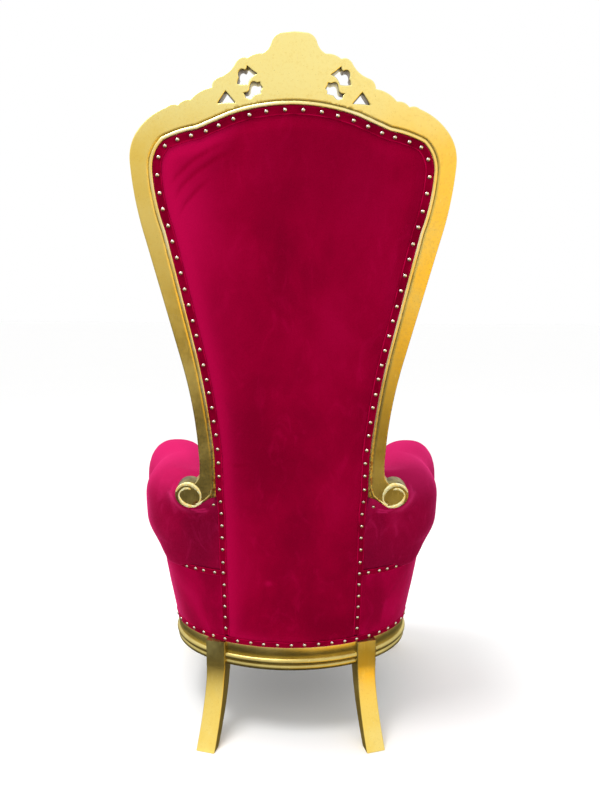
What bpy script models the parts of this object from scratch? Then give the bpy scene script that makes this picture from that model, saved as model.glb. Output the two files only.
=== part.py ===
"""A tall-backed throne chair: a gilded, carved and pierced back frame, velvet upholstery held by nailing strips,
a barrel seat with rolled arms, a gilded reeded seat rail and four gilded legs.

Metres, +Z up. The chair faces -Y, and the sitter's left is +X. The origin is on the floor, under the middle of the
chair's box.
"""

import math

import bmesh
import bpy
from mathutils import Matrix, Vector
from mathutils.geometry import delaunay_2d_cdt

# Seat rail and the barrel that stands on it
RAIL_TOP = 0.285
RAIL_HEIGHT = 0.073
RAIL_DEPTH = 0.036
FASCIA_PROUD = -0.003
FASCIA_HEIGHT = 0.033
REED_RADIUS = 0.0095
REED_SET_BACK = 0.003
LOWER_REED_STEP = -0.004
SEAT_REAR_Y = 0.190
SEAT_WIDEST_Y = -0.060
SEAT_HALF_WIDTH = 0.358
SIDE_FLARE = 0.080
SIDE_LEAN = 0.15
FRONT_CORNER_Y = -0.330
FRONT_CORNER_RADIUS = 0.045
FRONT_BOW = 0.052

# Back
BACK_LEAN = math.radians(9.0)
CREST_RISE = 0.259
STILE_RISE = 0.680
WAIST_ABOVE_VOLUTE = 0.113
SHOULDER_HALF_WIDTH = 0.363
WAIST_HALF_WIDTH = 0.237
WAIST_STILE_WIDTH = 0.040
SHOULDER_STILE_WIDTH = 0.049
CREST_RAIL_DEPTH = 0.140
FRAME_THICKNESS = 0.042
FRAME_ARRIS = 0.002
CARVING_HEIGHT = 0.012
VOLUTE_BELOW_ARM_TOP = 0.043
VOLUTE_HALF_SPACING = 0.267
VOLUTE_RADIUS = 0.035
VOLUTE_RIM_RADIUS = 0.0042
BACK_PANEL_HALF_WIDTH = 0.195
PANEL_THICKNESS = 0.018
PANEL_RECESS = 0.004
PANEL_CROWN = 0.005
PANEL_SHOULDER = 0.030
STRIP_WIDTH = 0.019
STRIP_THICKNESS = 0.0025
BACK_THICKNESS = 0.120
PAD_EDGE_THICKNESS = 0.052

# Arms
ARM_WALL_HEIGHT = 0.235
ROLL_SWELL_HEIGHT = 0.110
ROLL_FLAT = 0.060
ROLL_CROWN = 0.100
ARM_BULGE = 0.0405
ARM_THICKNESS = 0.140
ARM_WALL_THICKNESS = 0.134
ARM_FRONT_Y = -0.259
ARM_FLARE = 0.250
BARREL_ROUNDNESS = 2.8
OUTSIDE_PANEL_THICKNESS = 0.0115
FACING_THICKNESS = 0.010
FACING_MARGIN = 0.012

# Seat
SEAT_BASE_THICKNESS = 0.058
DUST_COVER_THICKNESS = 0.002
DECK_HEIGHT = 0.100
CUSHION_HEIGHT = 0.105
CUSHION_EDGE = 0.030

# Legs
REAR_LEG_INSET = 0.141
REAR_LEG_TURN = math.radians(15.0)
REAR_LEG_WIDTH = 0.058
REAR_LEG_DEPTH = 0.050
REAR_FOOT_DEPTH = 0.036
REAR_LEG_SWEEP = 0.085
FRONT_LEG_TURN = math.radians(38.0)
FRONT_LEG_BLOCK = 0.062
FRONT_KNEE_REACH = 0.022
FRONT_ANKLE = 0.032
FRONT_TOE = 0.058
LEG_PROUD = 0.003

# Fits
GAP = 0.0005
SEAM = 0.0008

# Places that follow from the sizes
REAR_LEG_X = SEAT_HALF_WIDTH - REAR_LEG_INSET
ARM_UNDERSIDE = RAIL_TOP + ARM_WALL_HEIGHT
ARM_TOP = ARM_UNDERSIDE + ROLL_SWELL_HEIGHT + ROLL_FLAT + ROLL_CROWN
VOLUTE_HEIGHT = ARM_TOP - VOLUTE_BELOW_ARM_TOP
WAIST_HEIGHT = VOLUTE_HEIGHT + WAIST_ABOVE_VOLUTE
SHOULDER_HEIGHT = WAIST_HEIGHT + STILE_RISE
CREST_TOP = SHOULDER_HEIGHT + CREST_RISE

GILT_WOOD = ("gilt_wood", (0.62, 0.42, 0.09), 0.35, 0.85)
RAW_WOOD = ("raw_wood", (0.45, 0.30, 0.16), 0.8, 0.0)
VELVET = ("velvet", (0.36, 0.0, 0.045), 0.85, 0.0)
BLACK_CLOTH = ("dust_cloth", (0.02, 0.02, 0.02), 0.95, 0.0)


def clear_scene():
    for thing in list(bpy.data.objects):
        bpy.data.objects.remove(thing)


def smooth(share):
    share = min(max(share, 0.0), 1.0)
    return share * share * (3 - 2 * share)


def material(finish):
    name, colour, roughness, metallic = finish
    made = bpy.data.materials.get(name)
    if made is None:
        made = bpy.data.materials.new(name)
        made.use_nodes = True
        shader = made.node_tree.nodes["Principled BSDF"]
        shader.inputs["Base Color"].default_value = (*colour, 1.0)
        shader.inputs["Roughness"].default_value = roughness
        shader.inputs["Metallic"].default_value = metallic
    return made


# Flat outlines


def arc_path(points, longest=0.012):
    """The points of a path of arcs. Each item is (x, height, bulge), where bulge is the arc's rise to its left over
    the chord to the next item. The last item ends the path."""
    path = []
    for (x0, z0, bulge), (x1, z1, _) in zip(points, points[1:]):
        chord = math.hypot(x1 - x0, z1 - z0)
        steps = max(1, math.ceil(chord / longest)) if abs(bulge) > 1e-6 or chord > 0.08 else 1
        if abs(bulge) > 0.08:
            steps = max(steps, 3)
        for k in range(steps):
            t = k / steps
            rise = 4 * bulge * chord * t * (1 - t)
            path.append((x0 + (x1 - x0) * t - (z1 - z0) / chord * rise, z0 + (z1 - z0) * t + (x1 - x0) / chord * rise))
    path.append(points[-1][:2])
    return path


def offset_loop(loop, distance):
    """The closed loop moved by distance to the left of its run, corner by corner."""
    moved = []
    count = len(loop)
    for k, (x, y) in enumerate(loop):
        x0, y0 = loop[k - 1]
        x1, y1 = loop[(k + 1) % count]
        before = Vector((x - x0, y - y0)).normalized()
        after = Vector((x1 - x, y1 - y)).normalized()
        left = Vector((-before.y - after.y, before.x + after.x))
        if left.length < 1e-6:
            left = Vector((-after.y, after.x))
        left.normalize()
        stretch = max(left.dot(Vector((-after.y, after.x))), 0.5)
        moved.append((x + left.x * distance / stretch, y + left.y * distance / stretch))
    return moved


def signed_area(loop):
    return sum(loop[k - 1][0] * loop[k][1] - loop[k][0] * loop[k - 1][1] for k in range(len(loop))) / 2


def anticlockwise(loop):
    return loop if signed_area(loop) > 0 else loop[::-1]


def inside(loop, x, y):
    within = False
    for (x0, y0), (x1, y1) in zip(loop, loop[1:] + loop[:1]):
        if (y0 > y) != (y1 > y) and x < (x1 - x0) * (y - y0) / (y1 - y0) + x0:
            within = not within
    return within


def distance_to(loop, x, y):
    nearest = 1.0
    for (x0, y0), (x1, y1) in zip(loop, loop[1:] + loop[:1]):
        run = (x1 - x0) ** 2 + (y1 - y0) ** 2
        t = min(max(((x - x0) * (x1 - x0) + (y - y0) * (y1 - y0)) / run, 0.0), 1.0)
        nearest = min(nearest, math.hypot(x - x0 - t * (x1 - x0), y - y0 - t * (y1 - y0)))
    return nearest


def mirrored(half):
    """A closed loop from its half at x >= 0, whose first and last points may lie on x = 0."""
    return half + [(-x, y) for x, y in half[::-1] if x > 1e-6]


# Solids


def finish_object(name, mesh_data, finish, group, parent=None, smooth_angle=35.0):
    made = bpy.data.objects.new(name, mesh_data)
    group.objects.link(made)
    made.parent = parent
    mesh_data.materials.append(material(finish))
    mesh_data.shade_smooth()
    mesh_data.set_sharp_from_angle(angle=math.radians(smooth_angle))
    return made


def face_outwards(made, weld=0.0):
    """Turns a closed mesh's faces outwards, after welding points that are nearer than weld."""
    shape = bmesh.new()
    shape.from_mesh(made)
    if weld:
        bmesh.ops.remove_doubles(shape, verts=shape.verts, dist=weld)
    bmesh.ops.recalc_face_normals(shape, faces=shape.faces)
    if shape.calc_volume(signed=True) < 0:
        bmesh.ops.reverse_faces(shape, faces=shape.faces)
    shape.to_mesh(made)
    shape.free()
    return made


def mesh_from(name, vertices, faces):
    made = bpy.data.meshes.new(name)
    made.from_pydata(vertices, [], faces)
    return face_outwards(made)


def loft(name, rings, closed=False):
    """A solid through rings of as many points each: capped at both ends, or closed on itself."""
    count = len(rings[0])
    vertices = [tuple(point) for ring in rings for point in ring]
    faces = []
    for r in range(len(rings) if closed else len(rings) - 1):
        here, there = r * count, (r + 1) % len(rings) * count
        for k in range(count):
            n = (k + 1) % count
            faces.append((here + k, here + n, there + n, there + k))
    if not closed:
        faces.append(tuple(range(count))[::-1])
        faces.append(tuple(range((len(rings) - 1) * count, len(rings) * count)))
    return mesh_from(name, vertices, faces)


def triangles_in(loops, extra=()):
    """Triangles that fill the first loop less the other loops, with the extra points among their corners."""
    points, edges = [], []
    for loop in loops:
        start = len(points)
        points += [Vector(p) for p in loop]
        edges += [(start + k, start + (k + 1) % len(loop)) for k in range(len(loop))]
    points += [Vector(p) for p in extra]
    made = delaunay_2d_cdt(points, edges, [], 0, 1e-7)
    corners, faces = made[0], []
    for face in made[2]:
        x = sum(corners[k].x for k in face) / 3
        y = sum(corners[k].y for k in face) / 3
        if inside(loops[0], x, y) and not any(inside(hole, x, y) for hole in loops[1:]):
            faces.append(face)
    return corners, faces


def plate(name, loops, rear, front, arris=0.0, rear_points=(), front_points=()):
    """A solid between two surfaces over a flat outline: rear and front give the depth at (x, y). The edges are
    cut back by arris. The first loop runs anticlockwise round the outside and the others are holes."""
    loops = [anticlockwise(loops[0])] + [anticlockwise(hole)[::-1] for hole in loops[1:]]
    inner = [offset_loop(loop, arris) for loop in loops] if arris else loops
    vertices, faces = [], []
    rings = {}
    for place, extra, depth, turn in (("rear", rear_points, rear, -1), ("front", front_points, front, 1)):
        corners, triangles = triangles_in(inner, extra)
        start = len(vertices)
        vertices += [(p.x, p.y, depth(p.x, p.y)) for p in corners]
        faces += [tuple(start + k for k in face)[::turn] for face in triangles]
        rings[place] = start
    total = sum(len(loop) for loop in loops)
    walls = [(rings["rear"], 0), (rings["front"], 0)]
    if arris:
        for depth, step in ((rear, arris), (front, -arris)):
            start = len(vertices)
            vertices += [
                (x, y, depth(*near) + step)
                for loop, kept in zip(loops, inner)
                for (x, y), near in zip(loop, kept)
            ]
            walls.insert(1 if step > 0 else 2, (start, 0))
    for (low, _), (high, _) in zip(walls, walls[1:]):
        done = 0
        for loop in loops:
            for k in range(len(loop)):
                a, b = done + k, done + (k + 1) % len(loop)
                faces.append((low + a, low + b, high + b, high + a))
            done += len(loop)
    assert total == done
    return mesh_from(name, vertices, faces)


def evaluated_mesh(thing, name):
    """The mesh that a curve or a modified object makes, with a curve's caps welded."""
    graph = bpy.context.evaluated_depsgraph_get()
    made = bpy.data.meshes.new_from_object(thing.evaluated_get(graph))
    made.name = name
    return face_outwards(made, 1e-5)


def cut_or_join(thing, other, operation):
    modifier = thing.modifiers.new(operation.lower(), "BOOLEAN")
    modifier.operation = operation
    modifier.object = other
    other.hide_render = True
    other.display_type = "WIRE"


# The barrel: the outer surface of the velvet at each height


def barrel(z):
    """Half width, rear y and roundness of the barrel's plan at a height."""
    rise = z - RAIL_TOP
    half_width = SEAT_HALF_WIDTH + SIDE_LEAN * min(rise, ARM_UNDERSIDE - RAIL_TOP)
    rear = SEAT_REAR_Y + math.tan(BACK_LEAN) * rise
    roundness = 2.0 + (BARREL_ROUNDNESS - 2.0) * smooth(rise / (ARM_TOP - RAIL_TOP))
    return half_width, rear, roundness


def side_flare(z):
    """How much wider the barrel grows for each metre that its sides run forwards."""
    return SIDE_FLARE + (ARM_FLARE - SIDE_FLARE) * min((z - RAIL_TOP) / (ARM_UNDERSIDE - RAIL_TOP), 1.0)


def barrel_drop(x, z):
    """How far the barrel lies in front of its rearmost line, at x."""
    half_width, rear, roundness = barrel(z)
    share = min(abs(x) / half_width, 1.0)
    return (rear - SEAT_WIDEST_Y) * (1 - (1 - share**roundness) ** (1 / roundness))


def barrel_station(first_x, along):
    """A function from (offset, height) to a point outside the barrel, at a share along its side: 0 at first_x,
    1 where the seat is widest, and up to 2 at the arm's front."""

    def at(offset, z):
        half_width, rear, roundness = barrel(z)
        if along <= 1:
            first = math.asin((first_x / half_width) ** (roundness / 2))
            turn = first + (math.pi / 2 - first) * along
            x = half_width * math.sin(turn) ** (2 / roundness)
            y = (rear - SEAT_WIDEST_Y) * max(math.cos(turn), 0.0) ** (2 / roundness)
            normal = Vector((
                (x / half_width) ** (roundness - 1) / half_width,
                (y / (rear - SEAT_WIDEST_Y)) ** (roundness - 1) / (rear - SEAT_WIDEST_Y),
            )).normalized()
            return Vector((x + normal.x * offset, SEAT_WIDEST_Y + y + normal.y * offset, z))
        forward = (along - 1) * (SEAT_WIDEST_Y - ARM_FRONT_Y)
        lift = min((z - RAIL_TOP) / (ARM_UNDERSIDE - RAIL_TOP), 1.0)
        flare = side_flare(z) * forward * (along - 1) ** (0.5 * lift)
        return Vector((half_width + flare + offset, SEAT_WIDEST_Y - forward, z))

    return at


def seat_outline(steps=15):
    """The barrel's plan at the rail's top, run anticlockwise, with the bowed front."""
    half = []
    for k in range(steps + 1):
        point = barrel_station(1e-6, k / steps)(0.0, RAIL_TOP)
        half.append((point.x, point.y))
    corner_x = SEAT_HALF_WIDTH + SIDE_FLARE * (SEAT_WIDEST_Y - FRONT_CORNER_Y)
    for k in range(1, 4):
        y = SEAT_WIDEST_Y + (FRONT_CORNER_Y - SEAT_WIDEST_Y) * k / 3
        half.append((SEAT_HALF_WIDTH + SIDE_FLARE * (SEAT_WIDEST_Y - y), y))
    for k in range(1, 5):
        turn = math.pi / 2 * k / 4
        half.append((
            corner_x - FRONT_CORNER_RADIUS * (1 - math.cos(turn)),
            FRONT_CORNER_Y - FRONT_CORNER_RADIUS * math.sin(turn),
        ))
    front_half = corner_x - FRONT_CORNER_RADIUS
    front_y = FRONT_CORNER_Y - FRONT_CORNER_RADIUS
    for k in range(1, 10):
        x = front_half * (1 - k / 9)
        half.append((x, front_y - FRONT_BOW * (0.5 + 0.5 * math.cos(math.pi * x / front_half))))
    half[0] = (0.0, half[0][1])
    return anticlockwise(mirrored(half))


# Gilded seat rail and legs


def rail_profile():
    """The rail's section as (offset outwards, height): a flat fascia above two reeds."""
    bottom = RAIL_TOP - RAIL_HEIGHT
    upper = RAIL_TOP - FASCIA_HEIGHT - REED_RADIUS
    lower = bottom + REED_RADIUS + 0.002
    back = FASCIA_PROUD - RAIL_DEPTH
    section = [(back, RAIL_TOP), (FASCIA_PROUD - 0.002, RAIL_TOP)]
    section += [(FASCIA_PROUD, RAIL_TOP - 0.002), (FASCIA_PROUD, RAIL_TOP - FASCIA_HEIGHT)]
    centre = FASCIA_PROUD - REED_SET_BACK
    for centre_z, offset in ((upper, centre), (lower, centre + LOWER_REED_STEP)):
        for degrees in (55, 20, -20, -55):
            turn = math.radians(degrees)
            section.append((offset + REED_RADIUS * math.cos(turn), centre_z + REED_RADIUS * math.sin(turn)))
    section += [(centre + LOWER_REED_STEP, bottom), (back, bottom)]
    return section


def leg_proud():
    """How far a leg's outer face stands outside the velvet: just past the reeds."""
    return FASCIA_PROUD - REED_SET_BACK + REED_RADIUS + LEG_PROUD


def leg_frame(x, y, turn):
    """The upright frame of a leg: its local +Y points outwards."""
    return Matrix.Translation((x, y, 0.0)) @ Matrix.Rotation(turn, 4, "Z")


def eight_sided(half_width, rear, front, z, chamfer):
    """A block's section as eight corners."""
    w, c = half_width, chamfer
    return [
        (w - c, rear, z), (-w + c, rear, z), (-w, rear - c, z), (-w, front + c, z),
        (-w + c, front, z), (w - c, front, z), (w, front + c, z), (w, rear - c, z),
    ]


def rear_leg(name, side, group):
    """A sabre leg sawn from one board: a straight block in the rail, then a curve out to the rear."""
    rings = []
    knee = RAIL_TOP - RAIL_HEIGHT
    for k in range(10):
        down = k / 9
        z = RAIL_TOP - GAP if k == 0 else knee * (1 - (k - 1) / 8)
        bend = (1 - z / knee) ** 1.7 if z < knee else 0.0
        rear = REAR_LEG_SWEEP * bend
        depth = REAR_LEG_DEPTH + (REAR_FOOT_DEPTH - REAR_LEG_DEPTH) * bend
        half = REAR_LEG_WIDTH / 2 - 0.002 * down
        rings.append(eight_sided(half, rear, rear - depth, z, 0.0025))
    mesh_data = loft(name, rings)
    y = leg_face_y(REAR_LEG_X, REAR_LEG_TURN)
    mesh_data.transform(leg_frame(side * REAR_LEG_X, y, -side * REAR_LEG_TURN))
    return finish_object(name, mesh_data, GILT_WOOD, group)


def leg_face_y(x, turn):
    """Where a rear leg's face stands, so that all of it is proud of the fascia."""
    half_width = SEAT_HALF_WIDTH
    share = min((x - REAR_LEG_WIDTH / 2 * math.cos(turn)) / half_width, 1.0)
    inner = SEAT_WIDEST_Y + (SEAT_REAR_Y - SEAT_WIDEST_Y) * math.sqrt(1 - share**2)
    return inner + leg_proud() - REAR_LEG_WIDTH / 2 * math.sin(turn)


def front_leg_centre():
    """The front leg's middle: its block's outer face stands proud of the rail's rounded corner."""
    corner_x = SEAT_HALF_WIDTH + SIDE_FLARE * (SEAT_WIDEST_Y - FRONT_CORNER_Y) - FRONT_CORNER_RADIUS
    reach = FRONT_CORNER_RADIUS + leg_proud() - FRONT_LEG_BLOCK / 2
    x = corner_x + reach * math.sin(FRONT_LEG_TURN)
    return x, FRONT_CORNER_Y - reach * math.cos(FRONT_LEG_TURN)


def front_leg(name, side, group):
    """A cabriole leg: a square block in the rail's corner, a carved knee, a slim ankle and a scrolled toe."""
    bottom = RAIL_TOP - RAIL_HEIGHT
    block = FRONT_LEG_BLOCK / 2
    # share of the leg's height, how far the centre reaches out, half size
    stages = (
        (1.00, 0.0, block), (0.90, FRONT_KNEE_REACH * 0.75, block * 1.02), (0.78, FRONT_KNEE_REACH, block * 0.98),
        (0.64, FRONT_KNEE_REACH * 0.62, block * 0.78), (0.50, FRONT_KNEE_REACH * 0.10, block * 0.62),
        (0.36, -FRONT_KNEE_REACH * 0.20, FRONT_ANKLE * 0.52), (0.24, 0.0, FRONT_ANKLE * 0.50),
        (0.14, FRONT_KNEE_REACH * 0.55, FRONT_TOE * 0.42), (0.06, FRONT_KNEE_REACH * 0.9, FRONT_TOE * 0.5),
        (0.0, FRONT_KNEE_REACH * 0.8, FRONT_TOE * 0.42),
    )
    rings = [eight_sided(block, block, -block, RAIL_TOP - GAP, 0.004)]
    for share, reach, half in stages:
        corner = half * (0.13 if share > 0.95 else 0.5)
        rings.append(eight_sided(half, reach + half, reach - half, bottom * share, corner))
    mesh_data = loft(name, rings)
    x, y = front_leg_centre()
    mesh_data.transform(leg_frame(side * x, y, math.pi + side * FRONT_LEG_TURN))
    return finish_object(name, mesh_data, GILT_WOOD, group, smooth_angle=50)


def leg_block_cutter(name, matrix, half_width, rear, front, cutters):
    """A box a gap larger than a leg's block, as tall as the rail and more."""
    grow = 2 * GAP
    low, high = RAIL_TOP - RAIL_HEIGHT - 0.02, RAIL_TOP + 0.02
    rings = [eight_sided(half_width + grow, rear + 0.05, front - grow, z, 0.0001) for z in (low, high)]
    mesh_data = loft(name, rings)
    mesh_data.transform(matrix)
    made = bpy.data.objects.new(name, mesh_data)
    cutters.objects.link(made)
    return made


def leg_places():
    """Each leg's name, upright frame and block as (half width, rear, front)."""
    places = []
    for side, word in ((1, "left"), (-1, "right")):
        y = leg_face_y(REAR_LEG_X, REAR_LEG_TURN)
        matrix = leg_frame(side * REAR_LEG_X, y, -side * REAR_LEG_TURN)
        places.append((f"rear_{word}", matrix, (REAR_LEG_WIDTH / 2, 0.0, -REAR_LEG_DEPTH)))
        x, y = front_leg_centre()
        matrix = leg_frame(side * x, y, math.pi + side * FRONT_LEG_TURN)
        half = FRONT_LEG_BLOCK / 2
        places.append((f"front_{word}", matrix, (half, half, -half)))
    return places


def seat_rails(group, cutters):
    """Four rails, tenoned between the legs' blocks: the round one behind, one on each side and the bowed front."""
    outline = seat_outline()
    profile = rail_profile()
    loops = [offset_loop(outline, -offset) for offset, _ in profile]
    cuts = {}
    for name, matrix, block in leg_places():
        x, y, _ = matrix @ Vector((0.0, (block[1] + block[2]) / 2, 0.0))
        nearest = min(range(len(outline)), key=lambda k: math.dist(outline[k], (x, y)))
        cuts[name] = nearest, leg_block_cutter(f"{name}_notch", matrix, *block, cutters)
    spans = (
        ("rear_rail", "rear_left", "rear_right"), ("side_rail_right", "rear_right", "front_right"),
        ("front_rail", "front_right", "front_left"), ("side_rail_left", "front_left", "rear_left"),
    )
    for name, first, last in spans:
        start, end = cuts[first][0], cuts[last][0]
        count = (end - start) % len(outline)
        places = [(start + k) % len(outline) for k in range(count + 1)]
        rings = [[(*loops[p][k], z) for p, (_, z) in enumerate(profile)] for k in places]
        rail = finish_object(name, loft(name, rings), GILT_WOOD, group)
        cut_or_join(rail, cuts[first][1], "DIFFERENCE")
        cut_or_join(rail, cuts[last][1], "DIFFERENCE")


# The back frame's outline, in x and height above the floor


def frame_outer_half():
    """The frame's outer edge from the crest's middle to the crevice above the volute."""
    rise = CREST_TOP - SHOULDER_HEIGHT
    wide = SHOULDER_HALF_WIDTH
    # shares of the shoulder's half width and of the crest's rise, then the bulge of each carved lobe
    crest = (
        (0.000, 1.000, 0.01), (0.083, 0.990, 0.14), (0.136, 0.914, -0.10), (0.186, 0.842, 0.09),
        (0.275, 0.806, 0.17), (0.340, 0.780, -0.10), (0.440, 0.665, 0.17), (0.487, 0.586, 0.09),
        (0.615, 0.494, 0.13), (0.692, 0.452, 0.14), (0.756, 0.438, 0.065), (0.930, 0.272, 0.10),
    )
    span = SHOULDER_HEIGHT - WAIST_HEIGHT
    swell = SHOULDER_HALF_WIDTH - WAIST_HALF_WIDTH
    points = [(wide * x, SHOULDER_HEIGHT + rise * h, bulge) for x, h, bulge in crest]
    points += [(wide, SHOULDER_HEIGHT, 0.028)]
    points += [(WAIST_HALF_WIDTH + swell * 0.805, WAIST_HEIGHT + span * 0.762, 0.0)]
    points += [(WAIST_HALF_WIDTH + swell * 0.268, WAIST_HEIGHT + span * 0.354, -0.026)]
    points += [(WAIST_HALF_WIDTH, WAIST_HEIGHT, -0.02)]
    turn = math.radians(117)
    crevice = (VOLUTE_HALF_SPACING + VOLUTE_RADIUS * math.cos(turn), VOLUTE_HEIGHT + VOLUTE_RADIUS * math.sin(turn))
    points += [(WAIST_HALF_WIDTH, crevice[1] + 0.030, -0.12), (*crevice, 0.0)]
    return arc_path(points, 0.020)


def volute_and_hook():
    """Round the volute and along the hook under the stile, to the frame's inner edge."""
    path = []
    for k in range(1, 15):
        turn = math.radians(117 - 217 * k / 14)
        path.append((VOLUTE_HALF_SPACING + VOLUTE_RADIUS * math.cos(turn), VOLUTE_HEIGHT + VOLUTE_RADIUS * math.sin(turn)))
    inner = WAIST_HALF_WIDTH - WAIST_STILE_WIDTH
    hook = arc_path([(*path[-1], -0.05), (inner, VOLUTE_HEIGHT - VOLUTE_RADIUS * 0.17, 0.0)], 0.012)
    return path + hook[1:]


def opening_half():
    """The opening's edge from the stile's foot up to the crest's middle."""
    inner = WAIST_HALF_WIDTH - WAIST_STILE_WIDTH
    shoulder = SHOULDER_HALF_WIDTH - SHOULDER_STILE_WIDTH
    swell = shoulder - inner
    span = SHOULDER_HEIGHT - WAIST_HEIGHT
    top = CREST_TOP - CREST_RAIL_DEPTH
    drop = top - SHOULDER_HEIGHT
    points = [
        (inner, VOLUTE_HEIGHT - VOLUTE_RADIUS * 0.17, 0.0),
        (inner, WAIST_HEIGHT - 0.010, 0.016),
        (inner + swell * 0.307, WAIST_HEIGHT + span * 0.384, 0.0),
        (inner + swell * 0.807, WAIST_HEIGHT + span * 0.788, -0.036),
        (shoulder, SHOULDER_HEIGHT - 0.020, -0.118),
        (shoulder * 0.913, SHOULDER_HEIGHT + drop * 0.383, -0.036),
        (shoulder * 0.675, SHOULDER_HEIGHT + drop * 0.574, 0.0),
        (shoulder * 0.444, SHOULDER_HEIGHT + drop * 0.817, -0.038),
        (0.0, top, 0.0),
    ]
    return arc_path(points, 0.024)


def piercings():
    """The three pierced openings on one side of the crest, in shares of the shoulder's half width and the rise."""
    rise = CREST_TOP - SHOULDER_HEIGHT
    triangle = ((0.456, 0.463, 0.0), (0.406, 0.557, 0.0), (0.350, 0.470, 0.03))
    leaf = (
        (0.336, 0.612, -0.05), (0.325, 0.660, -0.10), (0.327, 0.697, -0.2), (0.302, 0.720, 0.1), (0.287, 0.712, 0.1),
        (0.277, 0.745, 0.0), (0.252, 0.718, 0.04), (0.217, 0.688, 0.14), (0.272, 0.614, -0.04),
    )
    scroll = (
        (0.262, 0.592, -0.28), (0.300, 0.546, -0.12), (0.288, 0.510, 0.0), (0.264, 0.500, 0.10), (0.236, 0.533, 0.0),
        (0.197, 0.545, -0.20), (0.186, 0.585, -0.12), (0.201, 0.626, 0.0), (0.220, 0.620, 0.35),
    )
    loops = []
    for shape in (triangle, leaf, scroll):
        corners = [(SHOULDER_HALF_WIDTH * x, SHOULDER_HEIGHT + rise * h, bulge) for x, h, bulge in shape]
        loops.append(arc_path(corners + corners[:1], 0.012)[:-1])
    return loops


def up_slope(z):
    """Height above the floor to distance up the leaning back, from the rail's top."""
    return (z - RAIL_TOP) / math.cos(BACK_LEAN)


def on_slope(loop):
    return [(x, up_slope(z)) for x, z in loop]


def opening_loop(inset, floor, widest=1.0):
    """The opening in the frame as a loop up the slope, inset all round and carried down between the arms. Its lower
    edge lies on the velvet at the height floor. Below the arms' tops it is no wider than widest."""
    low = [(BACK_PANEL_HALF_WIDTH, RAIL_TOP - 0.1 + 0.07 * k) for k in range(8)]
    half = low + opening_half()
    loop = anticlockwise(on_slope(half + [(-x, z) for x, z in half[::-1] if x > 1e-6]))
    loop = offset_loop(loop, inset)
    lowest = up_slope(floor)
    arm_top = up_slope(ARM_TOP + 0.012)
    edge = [(x if y > arm_top else math.copysign(min(abs(x), widest), x), y) for x, y in loop if y > lowest + 0.012]
    edge = sorted_from_right_foot(edge)
    side = edge[0][0]
    sill = [-side, -0.150, -0.100, -0.050, 0.0, 0.050, 0.100, 0.150, side]
    return edge + [(x, lowest - barrel_drop(x, floor) * math.tan(BACK_LEAN)) for x in sill]


def sorted_from_right_foot(loop):
    """The loop's points, started at the lowest on the right, for a loop whose lower edge has been taken out."""
    start = min((k for k, p in enumerate(loop) if p[0] > 0), key=lambda k: loop[k][1])
    return loop[start:] + loop[:start]


# Carving on the front of the crest


def petal(x, z, root, tip, width):
    """The height, from 0 to 1, of a ridged leaf that runs from root to tip."""
    run = Vector(tip) - Vector(root)
    length = run.length
    along = (Vector((x, z)) - Vector(root)).dot(run) / length**2
    if not 0 < along < 1:
        return 0.0
    across = abs(run.x * (z - root[1]) - run.y * (x - root[0])) / length
    half = width * math.sin(math.pi * along**0.8)
    return max(0.0, 1 - across / half) ** 0.7 * (0.45 + 0.55 * along) if half > across else 0.0


def crest_relief(x, z):
    """How far the carving stands above the crest's front, in shares of the carving's height."""
    x = abs(x) / SHOULDER_HALF_WIDTH
    z = (z - SHOULDER_HEIGHT) / (CREST_TOP - SHOULDER_HEIGHT)
    height = 0.0
    fan = math.hypot(x, (z - 0.52) * 0.71)
    if fan < 0.30 and z > 0.52:
        turn = math.atan2(x, max((z - 0.52) * 0.71, 1e-6))
        height = max(height, (0.35 + 0.65 * abs(math.cos(turn * 4.5))) * smooth(fan / 0.08) * smooth((0.30 - fan) / 0.05))
    boss = math.hypot(x / 0.075, (z - 0.60) / 0.13)
    height = max(height, 1.3 * math.sqrt(max(0.0, 1 - boss**2)))
    scroll_eye = math.hypot((x - 0.245) / 0.042, (z - 0.600) / 0.060)
    height = max(height, 1.1 * math.sqrt(max(0.0, 1 - scroll_eye**2)))
    leaves = (
        ((0.16, 0.52), (0.30, 0.80), 0.045), ((0.36, 0.60), (0.36, 0.77), 0.04), ((0.34, 0.56), (0.46, 0.66), 0.04),
        ((0.45, 0.52), (0.55, 0.52), 0.035), ((0.48, 0.42), (0.66, 0.46), 0.045), ((0.56, 0.38), (0.75, 0.42), 0.045),
        ((0.40, 0.34), (0.90, 0.26), 0.05), ((0.10, 0.46), (0.42, 0.44), 0.03),
    )
    for root, tip, width in leaves:
        height = max(height, petal(x, z, root, tip, width))
    return height


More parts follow.
